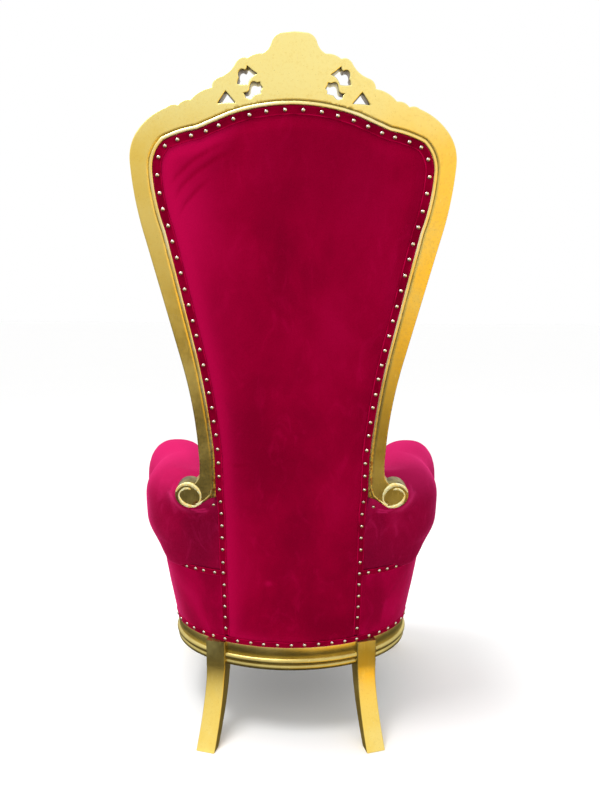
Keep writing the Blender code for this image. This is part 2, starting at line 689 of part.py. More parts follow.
def back_frame(group, cutters, plane):
    """The carved, gilded frame: crest, stiles and volutes in one."""
    half = frame_outer_half() + volute_and_hook() + opening_half()[1:]
    outer = half[:-1] + [half[-1]] + [(-x, z) for x, z in half[::-1] if x > 1e-6]
    holes = piercings()
    holes += [[(-x, z) for x, z in hole[::-1]] for hole in holes]
    loops = [on_slope(outer)] + [on_slope(hole) for hole in holes]
    inset = offset_loop(anticlockwise(loops[0]), 0.011)
    cosine = math.cos(BACK_LEAN)

    def carved(x, s):
        z = RAIL_TOP + s * cosine
        edge = min(distance_to(loop, x, s) for loop in loops)
        rounding = 0.006 * math.sqrt(smooth(edge / 0.014))
        return FRAME_THICKNESS + rounding + CARVING_HEIGHT * crest_relief(x, z) * smooth(edge / 0.008)

    pitch = 0.0125
    grid = []
    crest_foot = up_slope(SHOULDER_HEIGHT + 0.02)
    for row in range(int((up_slope(CREST_TOP) - crest_foot) / pitch)):
        for column in range(-34, 35):
            x = (column + 0.5 * (row % 2)) * pitch
            s = crest_foot + row * pitch
            if inside(loops[0], x, s) and min(distance_to(loop, x, s) for loop in loops) > 0.0055:
                if not any(inside(hole, x, s) for hole in loops[1:]):
                    grid.append((x, s))
    low_points = [(x, s) for x, s in inset[::2] if s < crest_foot and inside(loops[0], x, s)]
    mesh_data = plate("back_frame", loops, lambda x, s: 0.0, carved, FRAME_ARRIS, (), grid + low_points)
    frame = finish_object("back_frame", mesh_data, GILT_WOOD, group, plane)
    for side in (1, -1):
        frame_rim(frame, side, cutters, plane)
    return frame


def frame_rim(frame, side, cutters, plane):
    """The raised spiral rim on a volute's rear face, which starts on the hook and coils in to the eye."""
    spline_curve = bpy.data.curves.new("volute_rim_line", "CURVE")
    spline_curve.dimensions = "3D"
    spline_curve.bevel_depth = VOLUTE_RIM_RADIUS
    spline_curve.bevel_resolution = 2
    spline_curve.use_fill_caps = True
    turns = 26
    spline = spline_curve.splines.new("POLY")
    spline.points.add(turns - 1)
    for k, point in enumerate(spline.points):
        share = k / (turns - 1)
        turn = math.radians(-118 + 490 * share)
        radius = (VOLUTE_RADIUS - VOLUTE_RIM_RADIUS * 1.1) * (1 - 0.58 * share**1.7)
        x = VOLUTE_HALF_SPACING + radius * math.cos(turn)
        z = VOLUTE_HEIGHT + radius * math.sin(turn)
        point.co = (side * x, up_slope(z), 0.0012, 1.0)
        point.radius = 1.0 - 0.4 * share
    line = bpy.data.objects.new("volute_rim_line", spline_curve)
    cutters.objects.link(line)
    word = "left" if side > 0 else "right"
    rim = bpy.data.objects.new(f"volute_rim_{word}", evaluated_mesh(line, f"volute_rim_{word}"))
    cutters.objects.link(rim)
    bpy.data.objects.remove(line)
    rim.parent = plane
    cut_or_join(frame, rim, "UNION")


# Upholstered back


def velvet_depth(x, s):
    """The depth, from the frame's rear face forwards, of the velvet's rear surface."""
    z = RAIL_TOP + s * math.cos(BACK_LEAN)
    flat = smooth((z - (VOLUTE_HEIGHT - 0.06)) / 0.09)
    return barrel_drop(x, z) * (1 - flat) + PANEL_RECESS * flat


def grid_in(loop, pitch, margin):
    xs = [p[0] for p in loop]
    ys = [p[1] for p in loop]
    found = []
    rows = int((max(ys) - min(ys)) / pitch)
    columns = int((max(xs) - min(xs)) / pitch)
    for row in range(rows + 1):
        for column in range(columns + 1):
            x = min(xs) + (max(xs) - min(xs)) * column / columns
            y = min(ys) + (max(ys) - min(ys)) * row / rows
            if inside(loop, x, y) and distance_to(loop, x, y) > margin:
                found.append((x, y))
    return found


def outside_back(group, plane):
    """The velvet panel on the back, from the crest down to the rail, and the nailing strip round it."""
    foot = RAIL_TOP + STRIP_WIDTH + SEAM
    panel = opening_loop(STRIP_WIDTH + SEAM, foot)

    def rear(x, s):
        crown = PANEL_CROWN * smooth(distance_to(panel, x, s) / PANEL_SHOULDER)
        return velvet_depth(x, s) - crown

    def front(x, s):
        return velvet_depth(x, s) + PANEL_THICKNESS

    shoulder = [p for p in offset_loop(panel, PANEL_SHOULDER)[::2] if inside(panel, *p)]
    grid = grid_in(panel, 0.07, PANEL_SHOULDER + 0.02) + shoulder
    mesh_data = plate("outside_back", [panel], rear, front, 0.0015, grid, grid_in(panel, 0.07, 0.02))
    finish_object("outside_back", mesh_data, VELVET, group, plane)

    outer = opening_loop(SEAM, foot)
    inner = opening_loop(STRIP_WIDTH, foot)
    sill = 9
    band = outer[-1:] + outer[: 1 - sill] + inner[: 1 - sill][::-1] + inner[-1:]

    def outer_face(x, s):
        return velvet_depth(x, s) + STRIP_THICKNESS

    strip = plate("back_strip", [band], velvet_depth, outer_face)
    finish_object("back_strip", strip, VELVET, group, plane)


def inside_back(group, plane):
    """The padded front of the back, deep between the arms and thinner at the frame."""
    outline = opening_loop(2 * GAP, RAIL_TOP + DECK_HEIGHT + 2 * GAP, BACK_PANEL_HALF_WIDTH - 2 * GAP)

    def rear(x, s):
        return velvet_depth(x, s) + PANEL_THICKNESS + 7 * GAP

    def front(x, s):
        z = RAIL_TOP + s * math.cos(BACK_LEAN)
        high = smooth((z - (ARM_TOP - 0.10)) / 0.12)
        side_edge = BACK_THICKNESS - 0.010 + (PAD_EDGE_THICKNESS - BACK_THICKNESS + 0.010) * high
        crown = math.sqrt(smooth(distance_to(outline, x, s) / (0.03 + 0.05 * high)))
        return side_edge + (BACK_THICKNESS - side_edge) * crown

    rings = []
    for inset in (0.018, 0.045, 0.085):
        ring = offset_loop(outline, inset)[::2]
        rings += [p for p in ring if inside(outline, *p) and distance_to(outline, *p) > inset * 0.8]
    grid = grid_in(outline, 0.075, 0.10) + rings
    mesh_data = plate("inside_back", [outline], rear, front, 0.004, grid_in(outline, 0.075, 0.03), grid)
    finish_object("inside_back", mesh_data, VELVET, group, plane, smooth_angle=60)


# Arms


def arm_section(bulge_share):
    """The arm's section as (offset, height): the wall, and the roll that overhangs it."""
    bulge = ARM_BULGE * bulge_share
    middle = (bulge - ARM_THICKNESS) / 2
    half = (bulge + ARM_THICKNESS) / 2
    crown_foot = ARM_TOP - ROLL_CROWN
    wall = -OUTSIDE_PANEL_THICKNESS - 5 * GAP
    section = [(wall, z) for z in WALL_HEIGHTS] + [(wall, ARM_UNDERSIDE), (-0.004, ARM_UNDERSIDE + GAP)]
    for k in range(1, 6):
        swell = math.sin(math.pi / 2 * k / 5) ** 1.3
        section.append((bulge * swell, ARM_UNDERSIDE + ROLL_SWELL_HEIGHT * k / 5))
    for k in range(13):
        turn = math.pi * k / 12
        reach = math.copysign(abs(math.cos(turn)) ** 0.85, math.cos(turn)) if k != 6 else 0.0
        section.append((middle + half * reach, crown_foot + ROLL_CROWN * math.sin(turn)))
    deck_top = RAIL_TOP + DECK_HEIGHT
    section += [(-ARM_WALL_THICKNESS, deck_top), (-ARM_WALL_THICKNESS, RAIL_TOP + GAP)]
    return section


ARM_START_X = BACK_PANEL_HALF_WIDTH - 0.030
WALL_HEIGHTS = [
    RAIL_TOP + GAP, RAIL_TOP + STRIP_WIDTH, RAIL_TOP * 0.7 + ARM_UNDERSIDE * 0.3, RAIL_TOP * 0.4 + ARM_UNDERSIDE * 0.6,
    ARM_UNDERSIDE - STRIP_WIDTH - 2 * GAP, ARM_UNDERSIDE - 2 * GAP,
]
ARM_STATIONS = [0.0, 0.14, 0.28, 0.42, 0.56, 0.70, 0.84, 1.0, 1.25, 1.5, 1.75, 2.0]


def arm_mesh(name):
    rings = []
    for along in ARM_STATIONS:
        at = barrel_station(ARM_START_X, along)
        bulge = smooth(along / 0.75)
        rings.append([at(offset, z) for offset, z in arm_section(bulge)])
    return loft(name, rings)


def keep_outside(mesh_data, x):
    """Cuts the mesh off flat at x, and keeps what is further out."""
    shape = bmesh.new()
    shape.from_mesh(mesh_data)
    geometry = shape.verts[:] + shape.edges[:] + shape.faces[:]
    bmesh.ops.bisect_plane(shape, geom=geometry, plane_co=(x, 0, 0), plane_no=(1, 0, 0), clear_inner=True)
    bmesh.ops.holes_fill(shape, edges=[edge for edge in shape.edges if edge.is_boundary])
    shape.to_mesh(mesh_data)
    shape.free()
    face_outwards(mesh_data)


def both_sides(name, mesh_data, finish, group, smooth_angle=35.0):
    """The piece on the sitter's left, and its mirror image on the right."""
    left = finish_object(f"{name}_left", mesh_data, finish, group, smooth_angle=smooth_angle)
    other = mesh_data.copy()
    other.transform(Matrix.Scale(-1, 4, (1, 0, 0)))
    other.flip_normals()
    right = bpy.data.objects.new(f"{name}_right", other)
    group.objects.link(right)
    return left, right


def arms(group, cutters, plane):
    """The padded arms, with a pocket where the frame's stile and volute are let into each."""
    mesh_data = arm_mesh("arm")
    keep_outside(mesh_data, BACK_PANEL_HALF_WIDTH + GAP)
    pair = both_sides("arm", mesh_data, VELVET, group, 50)
    half = [p for p in frame_outer_half() if p[1] < WAIST_HEIGHT + 0.03] + volute_and_hook()
    half.append((half[-1][0], half[0][1]))
    half[-1] = (WAIST_HALF_WIDTH - WAIST_STILE_WIDTH - 0.02, half[0][1])
    half.insert(-1, (WAIST_HALF_WIDTH - WAIST_STILE_WIDTH - 0.02, half[-2][1]))
    pocket = offset_loop(anticlockwise(on_slope(half)), -SEAM)
    deep = FRAME_THICKNESS + 0.008
    for side, thing in ((1, pair[0]), (-1, pair[1])):
        loop = [(side * x, s) for x, s in pocket]
        name = f"frame_pocket_{'left' if side > 0 else 'right'}"
        cutter = bpy.data.objects.new(name, plate(name, [loop], lambda x, s: -0.03, lambda x, s: deep))
        cutters.objects.link(cutter)
        cutter.parent = plane
        cut_or_join(thing, cutter, "DIFFERENCE")
    return pair


def outside_panels_and_strips(group):
    """The thin velvet panel outside each arm, the strip under the roll, and the strip along the rail."""
    stations = [barrel_station(ARM_START_X, along) for along in ARM_STATIONS]
    faces = [(0.0, z) for z in WALL_HEIGHTS]
    backs = [(-OUTSIDE_PANEL_THICKNESS, z) for z in WALL_HEIGHTS[::-1]]
    panel = loft("outside_arm", [[at(o, z) for o, z in faces + backs] for at in stations])
    keep_outside(panel, BACK_PANEL_HALF_WIDTH + GAP)
    both_sides("outside_arm", panel, VELVET, group)

    def band(low, high):
        return [(SEAM, low), (SEAM + STRIP_THICKNESS, low), (SEAM + STRIP_THICKNESS, high), (SEAM, high)]

    under_roll = band(*WALL_HEIGHTS[-2:])
    strip = loft("arm_strip", [[at(o, z) for o, z in under_roll] for at in stations])
    keep_outside(strip, BACK_PANEL_HALF_WIDTH + GAP)
    both_sides("arm_strip", strip, VELVET, group)

    rail_band = band(*WALL_HEIGHTS[:2])
    half = [[Vector((x, SEAT_REAR_Y - barrel_drop(x, z) + o, z)) for o, z in rail_band] for x in (0.0, 0.05, 0.10, 0.14)]
    half += [[at(o, z) for o, z in rail_band] for at in stations]
    other = [[Vector((-p.x, p.y, p.z)) for p in ring] for ring in half[:0:-1]]
    finish_object("rail_strip", loft("rail_strip", other + half), VELVET, group)


def arm_facings(group):
    """The velvet-covered board that closes the front of each arm."""
    at = barrel_station(ARM_START_X, 2.0)
    loop = [(at(o, z).x, z) for o, z in arm_section(1.0)]
    loop = offset_loop(anticlockwise(loop), FACING_MARGIN)
    corners = [(x, ARM_FRONT_Y - GAP, z) for x, z in loop]
    fronts = [(x, ARM_FRONT_Y - GAP - FACING_THICKNESS + 0.003, z) for x, z in loop]
    small = [(x, ARM_FRONT_Y - GAP - FACING_THICKNESS, z) for x, z in offset_loop(loop, 0.003)]
    both_sides("arm_facing", loft("arm_facing", [corners, fronts, small]), VELVET, group)


# Seat


def flat_prism(name, loop, low, high, finish, group):
    rings = [[(x, y, z) for x, y in loop] for z in (low, high)]
    return finish_object(name, loft(name, rings), finish, group)


def seat_plan(side_gap, rear_gap, front_inset):
    """The seat's plan between the arms and across the front: side_gap clears the arms' inner walls."""
    middle = BACK_PANEL_HALF_WIDTH - side_gap
    half = [(x, SEAT_REAR_Y - barrel_drop(x, RAIL_TOP) - rear_gap) for x in (0.0, 0.05, 0.10, 0.15, middle)]
    between = []
    for k in range(41):
        point = barrel_station(ARM_START_X, k / 20)(-ARM_THICKNESS - side_gap, RAIL_TOP)
        if point.x > middle + 0.002 and (not between or math.dist(between[-1], (point.x, point.y)) > 0.02):
            between.append((point.x, point.y))
    half.append((middle, between[0][1] - 0.002))
    half += between
    last_x = half[-1][0]
    arm_clear = ARM_FRONT_Y - FACING_THICKNESS - 2 * side_gap
    half[-1] = (last_x, arm_clear)
    front = [p for p in offset_loop(seat_outline(), front_inset) if p[0] > -1e-6 and p[1] < arm_clear - 0.004]
    edge = [p for p in front if p[0] > last_x]
    widest = max(p[0] for p in edge)
    half.append((widest, arm_clear))
    half += sorted(front, key=lambda p: -p[0])
    return anticlockwise(mirrored(half))


def seat(group):
    """The webbed base in the rail, the black dust cover, the sprung deck and the loose cushion."""
    inner = offset_loop(seat_outline(), RAIL_DEPTH - FASCIA_PROUD + GAP)
    base_low = RAIL_TOP - SEAT_BASE_THICKNESS
    flat_prism("seat_base", clear_of_legs(inner), base_low, RAIL_TOP - GAP, RAW_WOOD, group)
    cover = clear_of_legs(offset_loop(inner, 0.004))
    flat_prism("dust_cover", cover, base_low - GAP - DUST_COVER_THICKNESS, base_low - GAP, BLACK_CLOTH, group)
    deck_top = RAIL_TOP + DECK_HEIGHT
    deck = seat_plan(2 * GAP, PANEL_THICKNESS + 0.008, 0.002)
    flat_prism("seat_deck", deck, RAIL_TOP + GAP, deck_top, VELVET, group)


def clear_of_legs(loop):
    """The loop brought in where a leg's block stands inside the rail."""
    blocks = [(matrix, *block) for _, matrix, block in leg_places()]
    dense = []
    for (x0, y0), (x1, y1) in zip(loop, loop[1:] + loop[:1]):
        steps = max(1, math.ceil(math.dist((x0, y0), (x1, y1)) / 0.03))
        dense += [(x0 + (x1 - x0) * k / steps, y0 + (y1 - y0) * k / steps) for k in range(steps)]
    kept = []
    for x, y in dense:
        point = Vector((x, y, 0.0))
        for matrix, half, rear, front in blocks:
            local = matrix.inverted() @ point
            if abs(local.x) < half + 0.03 and front - 0.002 < local.y < rear + 0.1:
                local.y = front - 0.003
                point = matrix @ local
        kept.append((point.x, point.y))
    return kept


def cushion(group):
    """A loose T-shaped cushion, crowned on top."""
    low = RAIL_TOP + DECK_HEIGHT + GAP
    high = low + CUSHION_HEIGHT
    rear = SEAT_REAR_Y + math.tan(BACK_LEAN) * DECK_HEIGHT - BACK_THICKNESS - 0.008
    loop = [p for p in seat_plan(0.006, PANEL_THICKNESS, 0.006)]
    loop = [(x, min(y, rear)) for x, y in loop]
    tidy = []
    for p in loop:
        if not tidy or math.dist(tidy[-1], p) > 0.004:
            tidy.append(p)
    rings = []
    for inset, z in ((0.012, low), (0.0, low + 0.016), (0.0, high - CUSHION_EDGE), (0.010, high - 0.010), (0.03, high)):
        rings.append([(x, y, z) for x, y in offset_loop(tidy, inset)])
    finish_object("cushion", loft("cushion", rings), VELVET, group, smooth_angle=60)


def build():
    clear_scene()
    scene = bpy.context.scene
    chair = bpy.data.collections.new("throne_chair")
    cutters = bpy.data.collections.new("cutters")
    scene.collection.children.link(chair)
    scene.collection.children.link(cutters)
    cutters.hide_render = True
    plane = bpy.data.objects.new("back_plane", None)
    chair.objects.link(plane)
    plane.location = (0.0, SEAT_REAR_Y, RAIL_TOP)
    plane.rotation_euler = (math.pi / 2 - BACK_LEAN, 0.0, 0.0)
    bpy.context.view_layer.update()
    seat_rails(chair, cutters)
    for side, word in ((1, "left"), (-1, "right")):
        rear_leg(f"rear_leg_{word}", side, chair)
        front_leg(f"front_leg_{word}", side, chair)
    back_frame(chair, cutters, plane)
    outside_back(chair, plane)
    inside_back(chair, plane)
    arms(chair, cutters, plane)
    outside_panels_and_strips(chair)
    arm_facings(chair)
    seat(chair)
    cushion(chair)


build()
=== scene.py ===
"""A gilded throne chair in crimson velvet, seen from behind. Metres, +Z up; the chair faces -Y and the sitter's
left is +X."""

import math

import bmesh
import bpy
import numpy as np
from mathutils import Euler, Matrix, Vector, noise
from mathutils.bvhtree import BVHTree
from mathutils.geometry import delaunay_2d_cdt


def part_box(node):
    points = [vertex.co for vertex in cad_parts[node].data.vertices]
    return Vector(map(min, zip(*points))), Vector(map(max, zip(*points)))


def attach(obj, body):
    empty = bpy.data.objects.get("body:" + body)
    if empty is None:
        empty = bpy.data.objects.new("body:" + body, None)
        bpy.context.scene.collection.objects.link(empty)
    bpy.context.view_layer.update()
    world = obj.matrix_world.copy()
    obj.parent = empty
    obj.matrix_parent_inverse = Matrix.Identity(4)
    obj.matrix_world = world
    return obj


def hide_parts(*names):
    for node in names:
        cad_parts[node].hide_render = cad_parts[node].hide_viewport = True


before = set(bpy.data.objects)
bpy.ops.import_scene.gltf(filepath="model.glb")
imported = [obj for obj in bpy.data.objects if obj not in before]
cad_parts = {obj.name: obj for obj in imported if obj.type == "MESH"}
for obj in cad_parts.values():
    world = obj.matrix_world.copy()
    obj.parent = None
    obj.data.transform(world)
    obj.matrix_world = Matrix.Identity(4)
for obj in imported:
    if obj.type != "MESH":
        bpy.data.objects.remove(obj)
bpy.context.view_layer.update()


# The room: a pale studio floor under an even white sky, with a softbox high on the side of the sitter's left. The
# sky's lower part is dim, which the gold reflects as a real room's darker ground, with an amber glow low on one side.

class Wire:
    """One output of a material's nodes. Arithmetic on it adds Math nodes."""

    def __init__(self, tree, socket=None):
        self.tree, self.socket = tree, socket

    def node(self, kind, settings=None, values=None, out=0):
        """Adds a node: its settings first, then its sockets' values or links by name or number."""
        made = self.tree.nodes.new("ShaderNode" + kind)
        for name, setting in (settings or {}).items():
            if name == "stops":
                ramp = made.color_ramp
                for k, (place, colour) in enumerate(setting):
                    stop = ramp.elements[k] if k < 2 else ramp.elements.new(place)
                    stop.position, stop.color = place, (*colour, 1.0)
            else:
                setattr(made, name, setting)
        for name, value in (values or {}).items():
            if isinstance(value, Wire):
                self.tree.links.new(value.socket, made.inputs[name])
            else:
                socket = made.inputs[name]
                if socket.type == "RGBA" and len(value) == 3:
                    value = (*value, 1.0)
                socket.default_value = value
        return Wire(self.tree, made.outputs[out])

    def math(self, operation, *values):
        return self.node("Math", {"operation": operation}, dict(enumerate(values)))

    def __add__(self, other):
        return self.math("ADD", self, other)

    def __sub__(self, other):
        return self.math("SUBTRACT", self, other)

    def __rsub__(self, other):
        return self.math("SUBTRACT", other, self)

    def __mul__(self, other):
        return self.math("MULTIPLY", self, other)

    __radd__ = __add__
    __rmul__ = __mul__

    def over(self, low, high, to_low=0.0, to_high=1.0):
        """Rises smoothly from to_low to to_high as this goes from low to high."""
        return self.node("MapRange", {"interpolation_type": "SMOOTHSTEP"},
                         {0: self, 1: low, 2: high, 3: to_low, 4: to_high})

    def mix(self, first, second):
        """The first colour where this is 0, the second where it is 1."""
        return self.node("Mix", {"data_type": "RGBA"}, {0: self, 6: first, 7: second}, out=2)

    def clouds(self, scale, detail=3.0, roughness=0.5, distortion=0.0):
        """Soft noise at this place, from 0 to 1."""
        return self.node("TexNoise", {}, {"Vector": self, "Scale": scale, "Detail": detail, "Roughness": roughness,
                                          "Distortion": distortion})

    def stretched(self, x, y, z):
        return self.node("Mapping", {}, {"Vector": self, "Scale": (x, y, z)})

    def axis(self, name):
        return self.node("SeparateXYZ", {}, {0: self}, out="XYZ".index(name))


def new_material(name, **uniform):
    """A material, its shader and its object coordinates. Uniform values go on the shader's own sockets."""
    made = bpy.data.materials.new(name)
    made.use_nodes = True
    tree = made.node_tree
    shader = tree.nodes["Principled BSDF"]
    for socket, value in uniform.items():
        shader.inputs[socket.replace("_", " ")].default_value = value
    place = Wire(tree).node("TexCoord", out=3)
    return made, shader, place


def plug(shader, **wires):
    for socket, wire in wires.items():
        shader.id_data.links.new(wire.socket, shader.inputs[socket.replace("_", " ")])


def bump(height, strength, distance):
    return height.node("Bump", {}, {"Strength": strength, "Distance": distance, "Height": height})


def add_object(name, mesh, material, smooth_angle=40.0):
    made = bpy.data.objects.new(name, mesh)
    scene.collection.objects.link(made)
    mesh.materials.clear()
    mesh.materials.append(material)
    mesh.shade_smooth()
    mesh.set_sharp_from_angle(angle=math.radians(smooth_angle))
    return made


scene = bpy.context.scene
scene.view_settings.view_transform = "Standard"

floor_paint, shader, place = new_material("studio_floor", Roughness=0.9, Specular_IOR_Level=0.1)
plug(shader, Base_Color=place.clouds(0.7).mix((0.985, 0.985, 0.982), (0.995, 0.995, 0.993)))
floor_mesh = bpy.data.meshes.new("studio_floor")
floor_mesh.from_pydata([(-160, -160, 0), (160, -160, 0), (160, 160, 0), (-160, 160, 0)], [], [(0, 1, 2, 3)])
studio_floor = add_object("studio_floor", floor_mesh, floor_paint)
studio_floor.visible_glossy = False

sky = bpy.data.worlds.new("studio_sky")
scene.world = sky
sky.use_nodes = True
glow = sky.node_tree.nodes["Background"]
aim = Wire(sky.node_tree).node("TexCoord", out=0)
height = aim.axis("Z")
sky_colour = height.node("ValToRGB", {"stops": [
    (0.0, (0.07, 0.06, 0.042)), (0.28, (0.09, 0.08, 0.056)), (0.335, (0.17, 0.15, 0.105)),
    (0.375, (0.44, 0.40, 0.31)), (0.44, (0.70, 0.67, 0.58)), (0.492, (1.0, 1.0, 1.0)), (1.0, (1.0, 1.0, 1.0)),
]}, {0: height * 0.5 + 0.5})
amber = aim.axis("X").over(0.02, -0.24) * aim.axis("Y").over(0.3, 0.7)
amber = amber * height.over(-0.01, -0.12) * height.over(-0.50, -0.42)
sky_colour = (amber * 0.92).mix(sky_colour, (1.85, 1.15, 0.06))
sky.node_tree.links.new(sky_colour.socket, glow.inputs["Color"])
glow.inputs["Strength"].default_value = 1.0

lamp = bpy.data.lights.new("key_softbox", "AREA")
lamp.shape, lamp.size, lamp.energy = "DISK", 1.4, 70.0
softbox = bpy.data.objects.new("key_softbox", lamp)
softbox.location = (0.9, 0.7, 3.2)
softbox.rotation_euler = (Vector((0.0, 0.0, 0.6)) - softbox.location).to_track_quat("-Z", "Y").to_euler()
scene.collection.objects.link(softbox)

camera_data = bpy.data.cameras.new("photo_camera")
camera_data.lens, camera_data.sensor_width, camera_data.clip_end = 27.9, 36.0, 400.0
camera = bpy.data.objects.new("photo_camera", camera_data)
aimed = Euler((math.radians(82.5), 0.0, math.radians(180 - 0.70))).to_matrix()
rolled = Matrix.Rotation(math.radians(0.37), 3, "Z")
camera.matrix_world = Matrix.Translation((0.0, 1.821, 1.201)) @ (aimed @ rolled).to_4x4()
scene.collection.objects.link(camera)
scene.camera = camera


# The seat rails: four hardwood rails round the barrel seat, worked with a flat fascia over two reeds, gessoed and
# gilded, and tenoned into the legs' blocks.

RAIL_TOP, RAIL_BOTTOM, RAIL_DEPTH, FASCIA_HEIGHT, FASCIA_PROUD = 0.285, 0.212, 0.036, 0.033, -0.003
REED_RADIUS, REED_CENTRE, LOWER_REED_STEP = 0.0095, -0.006, -0.004
SEAT_REAR_Y, SEAT_WIDEST_Y, SEAT_HALF_WIDTH = 0.190, -0.060, 0.358
FRONT_CORNER_Y, FRONT_CORNER_RADIUS, FRONT_BOW, SIDE_FLARE = -0.330, 0.045, 0.052, 0.080
PALE_TONE_AND_HIGHLIGHT_GOLD, LEAF_GOLD, OLIVE_PAINTED_REFLECTION_GOLD = (1.0, 0.88, 0.36), (0.95, 0.69, 0.15), (0.48, 0.40, 0.15)


def gilding(name, low, high, painted_highlight_above=0.0, wear_and_painted_light=0.0):
    """Gold leaf, satin and slightly cloudy, with painted reflection: toned darker from the height high down to low.
    """
    made, shader, place = new_material(name, Metallic=1.0, Specular_IOR_Level=0.5)
    height = place.axis("Z")
    cloud = place.clouds(9.0, 4.0, 0.55)
    grain = place.clouds(160.0, 4.0, 0.65)
    # Painted reflection: olive towards the height low, for the dim ground that the gold would mirror.
    lift = (height + (cloud - 0.5) * 0.10).over(low, high)
    colour = lift.mix(OLIVE_PAINTED_REFLECTION_GOLD, LEAF_GOLD)
    colour = cloud.over(0.38, 0.66, 0.0, 0.35).mix(colour, PALE_TONE_AND_HIGHLIGHT_GOLD)
    # Painted highlight: paler above the given height, for the bright sky that the gold would mirror.
    if painted_highlight_above:
        colour = (height + (cloud - 0.5) * 0.12).over(painted_highlight_above, painted_highlight_above + 0.16).mix(colour, PALE_TONE_AND_HIGHLIGHT_GOLD)
    colour = grain.over(0.50, 0.80, 0.0, 0.22).mix(colour, (0.62, 0.42, 0.08))
    specks = place.clouds(420.0, 2.0, 0.6).over(0.70, 0.76)
    colour = (specks * 0.55).mix(colour, (0.10, 0.06, 0.02))
    streak = place.stretched(240.0, 240.0, 9.0).clouds(1.0, 3.0, 0.6)
    colour = streak.over(0.60, 0.74, 0.0, 0.35).mix(colour, (0.96, 0.84, 0.42))
    # Wear on the edges, and the painted shade and highlight below.
    if wear_and_painted_light:
        edge = place.node("Attribute", {"attribute_name": "worn_edge"}, out=2)
        colour = (edge * place.clouds(150.0, 3.0, 0.6).over(0.50, 0.56) * wear_and_painted_light).mix(colour, (0.98, 0.66, 0.22))
        colour = (edge * place.clouds(110.0, 3.0, 0.6).over(0.53, 0.60) * wear_and_painted_light).mix(colour, (0.38, 0.05, 0.01))
        # Painted shade: dark in the quirk beside the bead and on the volutes' side walls.
        painted_groove_shade = place.node("Attribute", {"attribute_name": "painted_groove_shade"}, out=2)
        colour = (painted_groove_shade * place.clouds(26.0).over(0.30, 0.60, 0.35, 0.90)).mix(colour, (0.10, 0.065, 0.015))
        # Painted highlight: the bead and volute rims turn pale and less metallic, so they stay bright under any
        # light; the rims in patches of pale and deeper gold.
        painted_highlight = place.node("Attribute", {"attribute_name": "burnished"}, out=2)
        rim_highlight = place.clouds(120.0, 2.0).over(0.40, 0.62).mix((0.90, 0.86, 0.50), (0.92, 0.70, 0.24))
        colour = (painted_highlight * 0.85).mix(colour, painted_highlight.over(1.1, 1.6).mix((1.0, 0.93, 0.62), rim_highlight))
        plug(shader, Metallic=painted_highlight.over(1.1, 1.6, 1.0, 0.50))
        # The walls inside the piercings painted a dark brown.
        sawn = place.node("Attribute", {"attribute_name": "sawn"}, out=2)
        colour = (sawn * 0.9).mix(colour, (0.115, 0.060, 0.022))
    rough = 0.30 + cloud.over(0.3, 0.7, 0.0, 0.10) + grain.over(0.35, 0.75, 0.0, 0.12)
    plug(shader, Base_Color=colour, Roughness=rough,
         Normal=bump(grain * 0.6 + place.clouds(900.0, 2.0) * 0.4 + streak * 0.2, 0.10, 0.0012))
    return made


# Painted reflection: the rails toned to olive, darker towards their bottoms.
rail_gold = gilding("rail_gold", 0.12, 0.52)


def arc_path(points, longest):
    """The points of a path of arcs: each item is (x, height, bulge), the arc's rise to the left over its chord."""
    path = []
    for (x0, z0, bulge), (x1, z1, _) in zip(points, points[1:]):
        chord = math.hypot(x1 - x0, z1 - z0)
        steps = max(1, math.ceil(chord / longest))
        for k in range(steps):
            t = k / steps
            rise = 4 * bulge * chord * t * (1 - t)
            path.append((x0 + (x1 - x0) * t - (z1 - z0) / chord * rise,
                         z0 + (z1 - z0) * t + (x1 - x0) / chord * rise))
    return path + [points[-1][:2]]


def anticlockwise(loop):
    turned = sum(loop[k - 1][0] * loop[k][1] - loop[k][0] * loop[k - 1][1] for k in range(len(loop)))
    return loop if turned > 0 else loop[::-1]


def unit(vectors):
    return vectors / np.maximum(np.linalg.norm(vectors, axis=1), 1e-9)[:, None]


def offset_loop(loop, distance, closed=True):
    """The loop moved to the left of its run, corner by corner."""
    points = np.array(loop)
    before = points - np.roll(points, 1, axis=0)
    after = np.roll(points, -1, axis=0) - points
    if not closed:
        before[0], after[-1] = after[0], before[-1]
    before, after = unit(before), unit(after)
    middle = unit(before + after)
    left = np.stack([-middle[:, 1], middle[:, 0]], axis=1)
    stretch = np.maximum((left * np.stack([-after[:, 1], after[:, 0]], axis=1)).sum(1), 0.5)
    return [tuple(p) for p in points + left * (distance / stretch)[:, None]]


def loft(name, rings, closed=False, capped=True):
    """A skin through rings of as many points each."""
    count = len(rings[0])
    vertices = [tuple(point) for ring in rings for point in ring]
    faces = []
    for r in range(len(rings) if closed else len(rings) - 1):
        here, there = r * count, (r + 1) % len(rings) * count
        faces += [(here + k, here + (k + 1) % count, there + (k + 1) % count, there + k) for k in range(count)]
    if capped and not closed:
        faces += [tuple(range(count))[::-1], tuple(range((len(rings) - 1) * count, len(rings) * count))]
    return outward_mesh(name, vertices, faces)


def outward_mesh(name, vertices, faces):
    made = bpy.data.meshes.new(name)
    made.from_pydata([tuple(map(float, v)) for v in vertices], [], faces)
    shape = bmesh.new()
    shape.from_mesh(made)
    bmesh.ops.recalc_face_normals(shape, faces=shape.faces)
    if shape.calc_volume(signed=True) < 0:
        bmesh.ops.reverse_faces(shape, faces=shape.faces)
    shape.to_mesh(made)
    shape.free()
    return made


